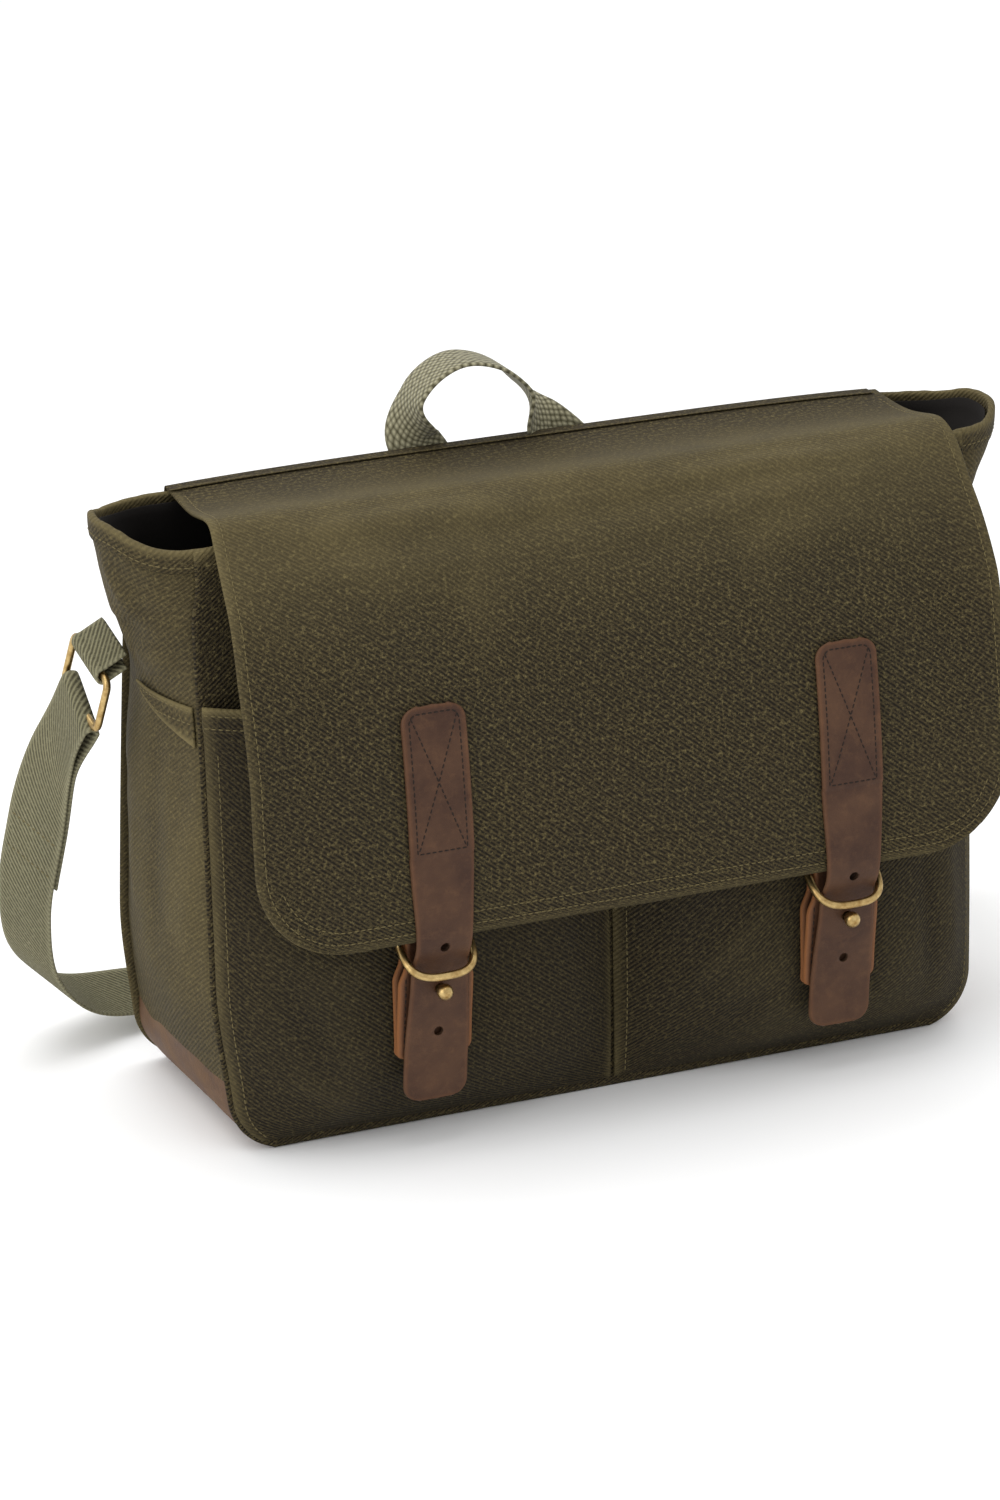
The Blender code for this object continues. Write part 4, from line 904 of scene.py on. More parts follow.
def makePocket(side, word):
    u, v = unitGrid(130, 130)
    z = pocket["bottom"] + (pocket["top"] - pocket["bottom"]) * v ** 1.15
    inner, outer = pocket["space"] / 2, outlineHalf(z, 0.002)
    share = np.sin(np.pi * (u - 0.5))
    x = inner + (outer - inner) * (share + 1) / 2
    grid = np.stack([side * x, pocketMiddle(share, z), z], axis=-1)
    normals = gridNormals(grid)
    if np.mean(normals[..., 1]) > 0:
        normals = -normals
    mask = (1 - share ** 6) * smoothStep(v / 0.10) * smoothStep((0.222 - z) / 0.02)
    sx = side * x
    lift = clothLift(sx, z, mask, 81 if side < 0 else 91, 0.0022, 0.0009)
    for start, end, width, height in pocketFolds[word]:
        lift += mask * crease(sx, z, start, end, width, height)
    tabQuiet = smoothStep((np.abs(x - closure["x"]) - 0.017) / 0.012)
    tabQuiet = np.maximum(tabQuiet, smoothStep((np.abs(z - 0.082) - 0.036) / 0.012))
    lift = np.where(lift > 0, lift * tabQuiet, lift)
    down = pocket["top"] - z
    hem = smoothStep((pocket["hem"] - down) / 0.0012)
    seamPull = sum(np.exp(-((down - place) / 0.0010) ** 2) for place in pocket["seams"])
    lift += hem * pocket["hemThick"] / 2 - 0.00018 * seamPull
    grid = relaxed(grid + normals * lift[..., None])
    thick = bag["canvas"] + hem * pocket["hemThick"]
    inward = np.minimum(x - inner, outer - x)
    # The paler raised folds are partly crease wear, partly painted highlight; the hems and edges are wear.
    wear = hemWear(down, 0.0022) + 0.45 * hemWear(inward, 0.003) + 0.08 * smoothStep(lift / 0.0022) * mask
    parts = [shell(grid, thick, (0, -1, 0), wear)]
    span = np.linspace(0.01, 0.99, 300)
    columns = span * 129
    for place in pocket["seams"]:
        row = np.interp(pocket["top"] - place, z[:, 0], np.arange(130))
        rows = np.full(300, row)
        up = sampled(normals, rows, columns)
        parts.append(stitches(sampled(grid, rows, columns) + up * (thick.max() / 2), up, 1))
    rows = np.linspace(2, 118, 300)
    level = np.interp(rows, np.arange(130), z[:, 0])
    want = pocket["sideSeam"] + inner
    halfSpan = outlineHalf(level, 0.002) - inner
    shareAt = np.clip(2 * (want - inner) / halfSpan - 1, -1, 1)
    columns = (np.arcsin(shareAt) / np.pi + 0.5) * 129
    up = sampled(normals, rows, columns)
    if side > 0:
        parts.append(stitches(sampled(grid, rows, columns) + up * bag["canvas"] / 2, up, 1))
    shareAt = np.clip(1 - 2 * 0.0045 / halfSpan, -1, 1)
    columns = (np.arcsin(shareAt) / np.pi + 0.5) * 129
    up = sampled(normals, rows, columns)
    parts.append(stitches(sampled(grid, rows, columns) + up * bag["canvas"] / 2, up, 1))
    piece = makePiece(word + "Pocket", parts, [shadedPocketTwill, tanThread])
    settle(piece, "bag", "waxed_canvas", word + "_pocket")


pocketFolds = {
    "left": (((-0.165, 0.195), (-0.060, 0.150), 0.007, 0.0012), ((-0.180, 0.110), (-0.150, 0.030), 0.008, -0.0015),
             ((-0.030, 0.190), (-0.012, 0.040), 0.006, -0.0016), ((-0.080, 0.050), (-0.020, 0.028), 0.006, 0.0012),
             ((-0.175, 0.045), (-0.140, 0.022), 0.005, 0.0014)),
    "right": (((0.160, 0.115), (0.168, 0.020), 0.006, -0.0020), ((0.175, 0.120), (0.182, 0.030), 0.006, 0.0016),
              ((0.020, 0.045), (0.085, 0.100), 0.006, 0.0013), ((0.045, 0.030), (0.095, 0.055), 0.006, -0.0010),
              ((0.012, 0.180), (0.018, 0.050), 0.006, -0.0012)),
}


def makeEar(side, word):
    inset = bag["leather"] + 2 * bag["gap"] + bag["canvas"] / 2
    u, v = unitGrid(22, 70)
    top = pocket["top"] - 0.002
    z = top - v * (0.002 + (pocket["earHeight"] - 0.002) * (1 - u))
    ahead = gussetHalf(z, bag["canvas"] / 2) - 0.004
    reach = (0.004 + pocket["earLength"] * u) / (ahead + 0.004)
    turn = np.arccos(np.clip(1 - reach, -1, 1))
    grid = sidePoint(np.full_like(z, halfWidth - inset), z, turn, bag["canvas"] / 2)
    grid[..., 0] = side * (grid[..., 0] + bag["canvas"] + bag["gap"] + 0.0006 + 0.0016 * np.sin(np.pi * u) * v)
    grid = relaxed(grid)
    sign = -1 if facing(grid, (side, 0, 0)) else 1
    normals = sign * gridNormals(grid)
    # The 0.2 everywhere is painted light, the ear painted paler like the lit side wall it sits on.
    wear = 0.2 + hemWear(v * 0.02, 0.003) + hemWear((1 - v) * 0.02, 0.003)
    parts = [shell(grid, bag["canvas"] * 0.8, (side, 0, 0), wear)]
    columns = np.linspace(1, 62, 60)
    for place in pocket["seams"]:
        depth = 0.002 + (pocket["earHeight"] - 0.002) * (1 - columns / 69)
        rows = np.clip((place - 0.001) / depth, 0, 0.8) * 21
        up = sampled(normals, rows, columns)
        parts.append(stitches(sampled(grid, rows, columns) + up * bag["canvas"] * 0.4, up, 1))
    piece = makePiece(word + "PocketEar", parts, [waxedTwill, tanThread])
    settle(piece, "bag", "waxed_canvas", word + "_pocket_ear")


for side, word in ((-1, "left"), (1, "right")):
    makePocket(side, word)
    makeEar(side, word)
print("pockets ready")

# Flap.

flap = {
    "halfBack": 0.188, "halfFront": 0.196, "corner": 0.045, "length": 0.2155,
    "axisY": 0.0385, "axisZ": 0.3115, "foldY": -0.0385,
    "leftSpread": 0.032, "rightSpread": 0.030, "backDrop": 0.0050, "ridges": 1.7,
    "slopeAt": (0, 0.005, 0.015, 0.030, 0.060, 0.085, 0.105, 0.140, 0.213),
    "slope": (20, 56, 50, 55, 60, 70, 78, 81, 88),
    "seams": (0.0045, 0.0105), "hem": 0.014,
}


def flapLine(offset):
    # down the hanging part: each step turns to the slope given for that length, then moves by the offset
    steps = 60
    length = np.linspace(0, flap["length"], steps + 1)
    slope = np.radians(np.interp(length, flap["slopeAt"], flap["slope"]))
    step = flap["length"] / steps
    y = flap["foldY"] - np.concatenate([[0], np.cumsum(np.cos(slope[:-1]) * step)])
    z = flap["axisZ"] - np.concatenate([[0], np.cumsum(np.sin(slope[:-1]) * step)])
    return length, y - offset * np.sin(slope), z + offset * np.cos(slope)


def flapProfile(rows, short=0.0):
    # the whole flap's line from its back edge over the mouth and down, rounded at the fold
    length, y, z = flapLine(0.0)
    top = flap["axisY"] - flap["foldY"]
    fine = np.linspace(0, top + flap["length"], 800)
    allS = np.concatenate([[0, top - 0.001], top + length[1:]])
    allY = np.concatenate([[flap["axisY"], flap["foldY"] + 0.001], y[1:]])
    allZ = np.concatenate([[flap["axisZ"], flap["axisZ"]], z[1:]])
    fineY, fineZ = np.interp(fine, allS, allY), np.interp(fine, allS, allZ)
    kernel = np.hanning(103)
    kernel /= kernel.sum()
    padY = np.concatenate([2 * fineY[0] - fineY[51:0:-1], fineY, 2 * fineY[-1] - fineY[-2:-53:-1]])
    padZ = np.concatenate([2 * fineZ[0] - fineZ[51:0:-1], fineZ, 2 * fineZ[-1] - fineZ[-2:-53:-1]])
    fineY, fineZ = np.convolve(padY, kernel, "valid"), np.convolve(padZ, kernel, "valid")
    # rows crowd towards the hem, where the corners are round
    share = np.linspace(0, 1, rows)
    place = (fine[-1] - short) * np.where(share < 0.6, share * 1.0 / 0.9, share / 0.9 - (share - 0.6) ** 2 * 0.6944)
    place *= (fine[-1] - short) / place[-1]
    return place, np.interp(place, fine, fineY), np.interp(place, fine, fineZ)


def flapHalf(place, short=0.0):
    # half width along the flap: widens over the front, then a quarter circle at each bottom corner
    top = flap["axisY"] - flap["foldY"]
    down = place - top
    widen = np.where(down < 0, 0.4 * place / top, np.clip(0.4 + 0.6 * down / 0.08, 0, 1))
    half = flap["halfBack"] + (flap["halfFront"] - flap["halfBack"]) * widen - short
    left = np.clip(flap["corner"] - (top + flap["length"] - short - place), 0, flap["corner"])
    return half - (flap["corner"] - np.sqrt(np.clip(flap["corner"] ** 2 - left ** 2, 0, None)))


def flapDrape(x, place, half):
    # sag over the mouth, drooping side edges and the ridges along the worn fold
    top = flap["axisY"] - flap["foldY"]
    over = np.sin(np.pi * np.clip(place / top, 0, 1))
    down = place - top
    ends = (np.abs(x) / half) ** 4
    sag = -0.0036 * over ** 1.3 - (flap["backDrop"] + 0.0022 * ends) * (1 - smoothStep((place - 0.004) / 0.070))
    hang = smoothStep(down / 0.012) * smoothStep((0.205 - down) / 0.03)
    strapQuiet = smoothStep((np.abs(np.abs(x) - closure["x"]) - 0.018) / 0.02)
    strapQuiet = np.maximum(strapQuiet, smoothStep((0.062 - down) / 0.02))
    swell = 0.0028 * softNoise(x, place, 0.100, 101) + 0.0011 * softNoise(x, place, 0.040, 102)
    swell += 0.0004 * softNoise(x, place, 0.016, 103)
    ridges = 0.0
    for start, end, width, height in flapFolds:
        ridges = ridges + crease(x, down, start, end, width, height)
    ridges = flap["ridges"] * ridges
    lift = hang * (np.clip(swell, -0.0016, 0.01) * strapQuiet + np.clip(ridges, -0.0016, 0.01) * (
        0.25 + 0.75 * strapQuiet))
    edge = half - np.abs(x)
    # the free side edges lift a little away from the bag and ripple
    flare = 0.0016 * np.exp(-(edge / 0.012) ** 2) * (0.4 + softNoise(0 * x, place, 0.05, 104)) * hang
    return sag + lift + flare


flapFolds = (
    ((-0.17, 0.012), (-0.02, 0.017), 0.0060, 0.0012), ((-0.09, 0.026), (0.06, 0.020), 0.0060, -0.0012),
    ((0.00, 0.010), (0.16, 0.014), 0.0055, 0.0012), ((0.04, 0.030), (0.17, 0.022), 0.0060, 0.0011),
    ((-0.16, 0.034), (-0.05, 0.040), 0.0070, 0.0010), ((-0.02, 0.046), (0.12, 0.036), 0.0080, -0.0010),
    ((-0.185, 0.060), (-0.120, 0.135), 0.0090, -0.0016), ((0.120, 0.050), (0.185, 0.115), 0.0090, -0.0014),
    ((-0.050, 0.080), (0.030, 0.170), 0.0110, -0.0011), ((-0.070, 0.185), (0.060, 0.190), 0.0100, -0.0010),
    ((0.060, 0.090), (0.000, 0.150), 0.0100, 0.0010),
)


def makeFlap():
    rows, columns = 210, 170
    place, y, z = flapProfile(rows)
    half = flapHalf(place)
    share = np.linspace(-1, 1, columns)
    x = half[:, None] * share[None]
    grid = np.stack([x, y[:, None] + 0 * x, z[:, None] + 0 * x], axis=-1)
    normals = gridNormals(grid)
    if np.mean(normals[..., 2] - normals[..., 1]) < 0:
        normals = -normals
    total = place[-1]
    fromEnd = total - place[:, None]
    edge = np.minimum(half[:, None] - np.abs(x), fromEnd + 0 * x)
    lift = flapDrape(x, place[:, None] + 0 * x, half[:, None])
    corner = np.maximum(half[:, None] - np.abs(x), 0)
    pull = sum(np.exp(-((fromEnd - seamAt) / 0.0011) ** 2) for seamAt in flap["seams"])
    pull = pull + np.exp(-((corner - flap["seams"][0]) / 0.0011) ** 2)
    lift = lift - 0.00022 * pull * smoothStep(place[:, None] / 0.01)
    grid = grid + normals * lift[..., None]
    front = smoothStep((place[:, None] - 0.010) / 0.07)
    grid[..., 0] *= 1 + np.where(x < 0, flap["leftSpread"] * front, flap["rightSpread"] * (1 - front))
    top = flap["axisY"] - flap["foldY"]
    down = place[:, None] - top
    # The band about the fold is partly fold wear and partly painted highlight where the top faces the overhead
    # light; the paler raised folds are partly crease wear, partly painted highlight.
    foldWearAndHighlight = np.exp(-((down - 0.000) / 0.050) ** 2) * smoothStep(place[:, None] / 0.02)
    wear = 0.38 * foldWearAndHighlight + 0.25 * np.exp(-(edge / 0.0028) ** 2) + 0.06 * smoothStep(lift / 0.0022) * (down > 0)
    parts = [shell(grid, bag["canvas"], (0, -1, 1), wear, (0, 0, 0))]
    surface = gridNormals(grid)
    if np.mean(surface[..., 2] - surface[..., 1]) < 0:
        surface = -surface

    def onFlap(xs, ps):
        rowAt = np.interp(ps, place, np.arange(rows))
        halfAt = np.interp(ps, place, half)
        columnAt = (np.clip(xs / halfAt, -1, 1) + 1) / 2 * (columns - 1)
        up = sampled(surface, rowAt, columnAt)
        return sampled(grid, rowAt, columnAt) + up * bag["canvas"] / 2, up

    for inset, start in ((flap["seams"][0], 0.012), (flap["seams"][1], None)):
        radius = flap["corner"] - inset
        turn = np.linspace(0, np.pi / 2, 40)
        cornerX = flap["halfFront"] - flap["corner"]
        cornerP = total - flap["corner"]
        arcX, arcP = cornerX + radius * np.cos(turn), cornerP + radius * np.sin(turn)
        if start is None:
            xs = np.concatenate([arcX[8:], np.linspace(cornerX, -cornerX, 200)[1:-1], -arcX[8:][::-1]])
            ps = np.concatenate([arcP[8:], np.full(198, total - inset), arcP[8:][::-1]])
        else:
            sideP = np.linspace(start, cornerP, 150)
            sideX = flapHalf(sideP) - inset
            xs = np.concatenate([sideX, arcX[1:], np.linspace(cornerX, -cornerX, 200)[1:-1], -arcX[::-1],
                                 -sideX[::-1][1:]])
            ps = np.concatenate([sideP, arcP[1:], np.full(198, total - inset), arcP[::-1], sideP[::-1][1:]])
        path, up = onFlap(xs, ps)
        parts.append(stitches(path, up, 1))
    piece = makePiece("flapCanvas", parts, [waxedTwill, tanThread])
    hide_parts("flap_top", "flap_front")
    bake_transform(piece)

    stack = bag["gap"] + bag["canvas"] / 2 + bag["lining"] / 2
    picks = np.linspace(0, 1, 90)
    rowAt = picks * (rows - 1)
    lined = sampled(grid - surface * stack, np.repeat(rowAt[:, None], 70, 1) * 0.992 + 0.4,
                    np.repeat((np.linspace(0.012, 0.988, 70) * (columns - 1))[None], 90, 0))
    piece = makePiece("flapLining", [shell(lined, bag["lining"], (0, 1, -1))], [liningCotton])
    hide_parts("flap_top_lining", "flap_front_lining")
    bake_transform(piece)

    # a strip sewn to the back panel runs up over the flap's back edge and bends over it towards the front
    u, v = unitGrid(44, 150)
    x = (2 * u - 1) * (flap["halfBack"] + 0.001)
    crest = flap["axisZ"] - flap["backDrop"] - 0.0022 * (2 * u - 1) ** 4 + 0.0013
    lowEdge = flap["axisZ"] - 0.0245
    rise = np.clip(v / 0.55, 0, 1)
    over = np.clip((v - 0.45) / 0.55, 0, 1)
    level = lowEdge + (crest - lowEdge) * np.sin(rise * np.pi / 2)
    depth = backSkin(lowEdge + 0.02 * rise) + 0.0010 - 0.007 * smoothStep(over) * over
    strip = np.stack([x, depth, level], axis=-1)
    parts = [shell(strip, 0.0006, (0, 1, 0.6), 0.30 * np.exp(-((v - 1) / 0.05) ** 2))]
    up = gridNormals(strip)
    up = up * np.sign(np.sum(up * np.array([0, 1, 0.6]), axis=-1, keepdims=True))
    for row in (4.0, 9.0):
        rows, columns = np.full(300, row), np.linspace(2, 147, 300)
        parts.append(stitches(sampled(strip, rows, columns) + sampled(up, rows, columns) * 0.0004,
                              sampled(up, rows, columns), 1))
    piece = makePiece("flapBinding", parts, [waxedTwill, tanThread])
    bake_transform(piece)


makeFlap()
print("flap ready")

# Leather closures.


def flapAtHeight(z, offset):
    _, y, height = flapLine(offset)
    return float(np.interp(-z, -height, y))


def strapHalf(z):
    # half width: drawn in a little where the D-ring holds the strap
    waist = 1 - smoothStep(np.abs(z - closure["ringZ"] + 0.004) / 0.055)
    return (closure["wide"] - (closure["wide"] - closure["waist"]) * waist) / 2


def tabInner(z):
    outer = halfWidth - 0.002
    share = 2 * (closure["x"] - pocket["space"] / 2) / (outer - pocket["space"] / 2) - 1
    return pocketMiddle(share, z) - bag["canvas"] / 2 - bag["gap"] - bag["leather"] / 2 - 0.0004


tabRadius = closure["ringWire"] + bag["gap"] + bag["leather"] / 2


def tabSpace(z):
    closed = bag["leather"] + bag["gap"]
    return closed + (2 * tabRadius - closed) * smoothStep((z - closure["tabBottom"] - 0.006) / 0.040)


def studSeat():
    z = closure["studZ"]
    return float(tabInner(z) - tabSpace(z) - bag["leather"] / 2)


def smoothCurve(knots, perSpan):
    # Catmull-Rom curve through the knots: each span mixes its four nearest knots with cubic weights
    knots = np.asarray(knots, float)
    knots = np.concatenate([[2 * knots[0] - knots[1]], knots, [2 * knots[-1] - knots[-2]]])
    t = (np.arange(perSpan) / perSpan)[None, :, None]
    a, b, c, d = (knots[n:len(knots) - 3 + n, None] for n in range(4))
    curve = 0.5 * (2 * b + (c - a) * t + (2 * a - 5 * b + 4 * c - d) * t ** 2
                   + (3 * b - a - 3 * c + d) * t ** 3)
    return np.concatenate([curve.reshape(-1, knots.shape[1]), knots[-2:-1]])


def evenly(path, count, power=1.0):
    # the same path with this many points at even lengths
    reach = np.concatenate([[0], np.cumsum(np.linalg.norm(np.diff(path, axis=0), axis=1))])
    places = np.linspace(0, 1, count) ** power * reach[-1]
    return np.stack([np.interp(places, reach, path[:, n]) for n in range(path.shape[1])], axis=-1)


def closureCentre():
    off = bag["canvas"] / 2 + bag["gap"] + bag["leather"] / 2
    sewn = [(flapAtHeight(z, off), z) for z in np.linspace(closure["top"], closure["split"], 17)]
    stud = studSeat() - closure["space"] - bag["leather"] / 2
    ringZ, studZ = closure["ringZ"], closure["studZ"]
    splitZ = closure["split"] - bag["gap"]
    middleZ = (closure["split"] + ringZ) / 2 + 0.012
    free = smoothCurve([(flapAtHeight(splitZ, off), splitZ), (flapAtHeight(middleZ, off), middleZ),
                        (flapAtHeight(ringZ + 0.004, off), ringZ + 0.004), (stud - 0.0008, ringZ - 0.0115),
                        (stud, studZ), (stud + 0.0022, studZ - 0.022), (stud + 0.0042, studZ - 0.042),
                        (stud + 0.0046, closure["tip"])], 8)
    return np.concatenate([sewn[:-1], free])


def withHoles(piece, places, radius):
    # cuts round holes straight through, along Y
    turn = np.linspace(0, 2 * np.pi, 24, endpoint=False)
    points, faces = [], []
    for n, (x, y, z) in enumerate(places):
        ring = np.stack([x + radius * np.cos(turn), 0 * turn + y - 0.008, z + radius * np.sin(turn)], axis=-1)
        points += [ring, ring + np.array([0, 0.016, 0])]
        first = n * 48
        k = np.arange(24)
        faces += np.stack([first + k, first + (k + 1) % 24, first + 24 + (k + 1) % 24, first + 24 + k],
                          axis=-1).tolist()
        faces += [list(range(first + 23, first - 1, -1)), list(range(first + 24, first + 48))]
    faces = [face[::-1] for face in faces]
    mesh = bpy.data.meshes.new("punch")
    mesh.from_pydata(np.concatenate(points).tolist(), [], faces)
    for finish in piece.data.materials:
        mesh.materials.append(finish)
    mesh.polygons.foreach_set("material_index", np.ones(len(faces), int))
    punch = bpy.data.objects.new("punch", mesh)
    bpy.context.scene.collection.objects.link(punch)
    modifier = piece.modifiers.new("holes", "BOOLEAN")
    modifier.operation, modifier.solver, modifier.object = "DIFFERENCE", "EXACT", punch
    bpy.context.view_layer.update()
    cut = bpy.data.meshes.new_from_object(piece.evaluated_get(bpy.context.evaluated_depsgraph_get()))
    piece.modifiers.clear()
    old = piece.data
    piece.data = cut
    bpy.data.objects.remove(punch)
    bpy.data.meshes.remove(mesh)
    bpy.data.meshes.remove(old)


def makeStrap(side, word):
    rows, columns = 230, 21
    centre = evenly(closureCentre(), rows)
    z = centre[:, 1]
    reach = np.concatenate([[0], np.cumsum(np.linalg.norm(np.diff(centre, axis=0), axis=1))])
    ends = np.minimum(reach, reach[-1] - reach)
    corner = closure["corner"]
    left = np.clip(corner - ends, 0, corner)
    half = strapHalf(z) - (corner - np.sqrt(np.clip(corner ** 2 - left ** 2, 0, None)))
    share = np.sin(np.linspace(-1, 1, columns) * np.pi / 2 * 0.8) / np.sin(np.pi / 2 * 0.8)
    x = half[:, None] * share[None]
    grid = np.stack([side * closure["x"] + x, centre[:, :1] + 0 * x, z[:, None] + 0 * x], axis=-1)
    normals = gridNormals(grid)
    if np.mean(normals[..., 1]) > 0:
        normals = -normals
    sewn = (z > closure["split"] - 0.001)[:, None]
    inset = closure["seamIn"]
    boxTop, boxLow = closure["top"] - inset, closure["split"] + 0.001
    edge = np.minimum(half[:, None] - np.abs(x), ends[:, None])
    groove = np.exp(-((edge - inset) / 0.0008) ** 2) * sewn
    groove += np.exp(-((z[:, None] - boxLow) / 0.0008) ** 2) * (edge > inset)
    # the free end bows a little across and waves along its length, as worn leather does
    wave = 0.0004 * np.sin(reach / 0.021 + (0.6 if side < 0 else 2.0))[:, None] * ~sewn
    bow = -0.0005 * (x / 0.016) ** 2 * ~sewn
    lift = wave + bow - 0.00022 * groove
    grid = grid + normals * lift[..., None]
    wear = 0.22 * np.exp(-(edge / 0.0011) ** 2)
    parts = [shell(grid, bag["leather"] * 0.92, (0, -1, 0), wear, (0, 0, 1), soft=0.7)]
    surface = gridNormals(grid)
    if np.mean(surface[..., 1]) > 0:
        surface = -surface

    def onStrap(xs, zs):
        rowAt = np.interp(-zs, -z, np.arange(rows))
        halfAt = np.interp(rowAt, np.arange(rows), half)
        columnAt = np.interp(np.clip(xs / halfAt, -1, 1), share, np.arange(columns))
        up = sampled(surface, rowAt, columnAt)
        return sampled(grid, rowAt, columnAt) + up * bag["leather"] * 0.46, up

    inner = closure["wide"] / 2 - inset
    radius = corner - inset
    turn = np.linspace(0, np.pi / 2, 12)
    rightX = np.concatenate([[inner], inner - radius + radius * np.cos(turn)])
    rightZ = np.concatenate([[boxLow], boxTop - radius + radius * np.sin(turn)])
    outlineX = np.concatenate([rightX, -rightX[::-1], [inner]])
    outlineZ = np.concatenate([rightZ, rightZ[::-1], [boxLow]])
    outline = evenly(np.stack([outlineX, outlineZ], axis=-1), 240)
    thread = dict(seam, spacing=0.0031, length=0.0025, thick=0.0007)
    sewing = [stitches(*onStrap(outline[:, 0], outline[:, 1]), 0, thread)]
    for sign in (-1, 1):
        line = np.linspace(0, 1, 60)
        xs = sign * (inner - 0.0008) * (1 - 2 * line)
        sewing.append(stitches(*onStrap(xs, boxTop - 0.001 - (boxTop - boxLow - 0.002) * line), 0, thread))
    settle(makePiece(word + "StrapStitching", sewing, [brownThread]), "flap_front", "oiled_leather")
    piece = makePiece(word + "ClosureStrap", parts, [leather, strapEdge])
    places = [(side * closure["x"], float(np.interp(-level, -z, centre[:, 0])), level)
              for level in closure["studZ"] + closure["holeSpacing"] * np.array([-1, 1])]
    withHoles(piece, places, closure["hole"])
    withHoles(piece, [(side * closure["x"], studSeat() - 0.004, closure["studZ"])], closure["neck"] + 0.0004)
    settle(piece, "flap_front", "oiled_leather", word + "_strap_sewn", word + "_strap_end")


def makeTab(side, word):
    rows = np.linspace(closure["tabBottom"], closure["ringZ"], 60)
    turn = np.linspace(0, np.pi, 26)[1:-1]
    centreY = float(tabInner(closure["ringZ"])) - tabRadius
    y = np.concatenate([tabInner(rows), centreY + tabRadius * np.cos(turn),
                        (tabInner(rows) - tabSpace(rows))[::-1]])
    z = np.concatenate([rows, closure["ringZ"] + tabRadius * np.sin(turn), rows[::-1]])
    neck = smoothStep((z - closure["ringZ"] + 0.022) / 0.012)
    half = (closure["tabWide"] - (closure["tabWide"] - closure["tabNeck"]) * neck) / 2
    reach = np.concatenate([[0], np.cumsum(np.hypot(np.diff(y), np.diff(z)))])
    ends = np.clip(0.004 - np.minimum(reach, reach[-1] - reach), 0, 0.004)
    half = half - (0.004 - np.sqrt(0.004 ** 2 - ends ** 2))
    u = np.linspace(-1, 1, 15)
    x = half[:, None] * u[None]
    grid = np.stack([side * closure["x"] + x, y[:, None] + 0 * x, z[:, None] + 0 * x], axis=-1)
    edge = half[:, None] - np.abs(x)
    outside = np.stack([0 * z, np.concatenate([np.ones(60), -np.sin(turn) * 0, -np.ones(60)]),
                        np.concatenate([np.zeros(60), np.sin(turn), np.zeros(60)])], axis=-1)[:, None]
    parts = [shell(grid, bag["leather"] * 0.95, np.broadcast_to(outside, grid.shape),
                   0.9 * np.exp(-(edge / 0.0014) ** 2), (0, 0, 1), soft=0.6)]
    outer = tabInner(rows) - tabSpace(rows) - bag["leather"] / 2
    for sign in (-1, 1):
        level = np.linspace(closure["tabBottom"] + 0.004, closure["studZ"] + 0.006, 40)
        path = np.stack([side * closure["x"] + sign * (closure["tabWide"] / 2 - 0.003) + 0 * level,
                         np.interp(level, rows, outer), level], axis=-1)
        parts.append(stitches(path, np.tile((0.0, -1.0, 0.0), (40, 1)), 2))
    piece = makePiece(word + "ClosureTab", parts, [leather, rawEdge, brownThread])
    settle(piece, "bag", "oiled_leather", word + "_closure_tab")


def makeRing(side, word):
    # wire D: a bar inside the tab and a bow in front of the strap, drooping from its bar
    corner, half, deep = 0.004, closure["ringHalf"], closure["ringDepth"]
    bend = np.linspace(0, np.pi / 2, 7)
    bow = np.linspace(0, np.pi, 40)[1:-1]

    def shaped(value):
        return np.sign(value) * np.abs(value) ** 0.66

    xs = np.concatenate([half - corner + corner * np.sin(bend), half * shaped(np.cos(bow)),
                         -half + corner - corner * np.sin(bend[::-1])])
    depths = np.concatenate([corner - corner * np.cos(bend), corner + (deep - corner) * shaped(np.sin(bow)),
                             corner - corner * np.cos(bend[::-1])])
    closed = np.stack([xs, depths], axis=-1)
    closed = evenly(np.concatenate([closed, closed[:1]]), 121)[:-1]
    droop = np.radians(closure["ringDroop"])
    centreY = float(tabInner(closure["ringZ"])) - tabRadius
    path = np.stack([side * closure["x"] + closed[:, 0], centreY - closed[:, 1] * np.cos(droop),
                     closure["ringZ"] - closed[:, 1] * np.sin(droop)], axis=-1)
    part = tube(path, closure["ringWire"] * 0.99, (0, -np.sin(droop), np.cos(droop)), sides=18)
    piece = makePiece(word + "DRing", [part], [brass])
    settle(piece, word + "_ring", "aged_brass", word + "_d_ring")


def makeStud(side, word):
    # ball stud: a low flange, a waisted neck and a round head with a small flat on top
    ball, neck, middle = closure["ball"], closure["neck"], closure["reach"]
    low = np.arcsin(neck / ball)
    turn = np.linspace(low, np.pi - 0.30, 26)
    flange = [(0.00001, 0.0), (closure["flange"] - 0.0002, 0.0), (closure["flange"], 0.0003),
              (closure["flange"], 0.0007), (closure["flange"] - 0.0003, 0.0010), (neck + 0.0006, 0.0012),
              (neck + 0.0001, 0.0016)]
    head = np.stack([ball * np.sin(turn), middle - ball * np.cos(turn)], axis=-1)
    profile = np.concatenate([flange, head, [(ball * np.sin(0.30) * 0.85, middle + ball * 0.962),
                                             (0.00001, middle + ball * 0.965)]])
    centre = (side * closure["x"], studSeat() - bag["gap"], closure["studZ"])
    part = turnedPart(profile, centre, (0, -1, 0), sides=32)
    piece = makePiece(word + "Stud", [part], [brass])
    settle(piece, "bag", "aged_brass", word + "_stud")


for side, word in ((-1, "left"), (1, "right")):
    makeStrap(side, word)
    makeTab(side, word)
    makeRing(side, word)
    makeStud(side, word)
print("closures ready")

# Webbing: grab handle, side tabs and shoulder strap.

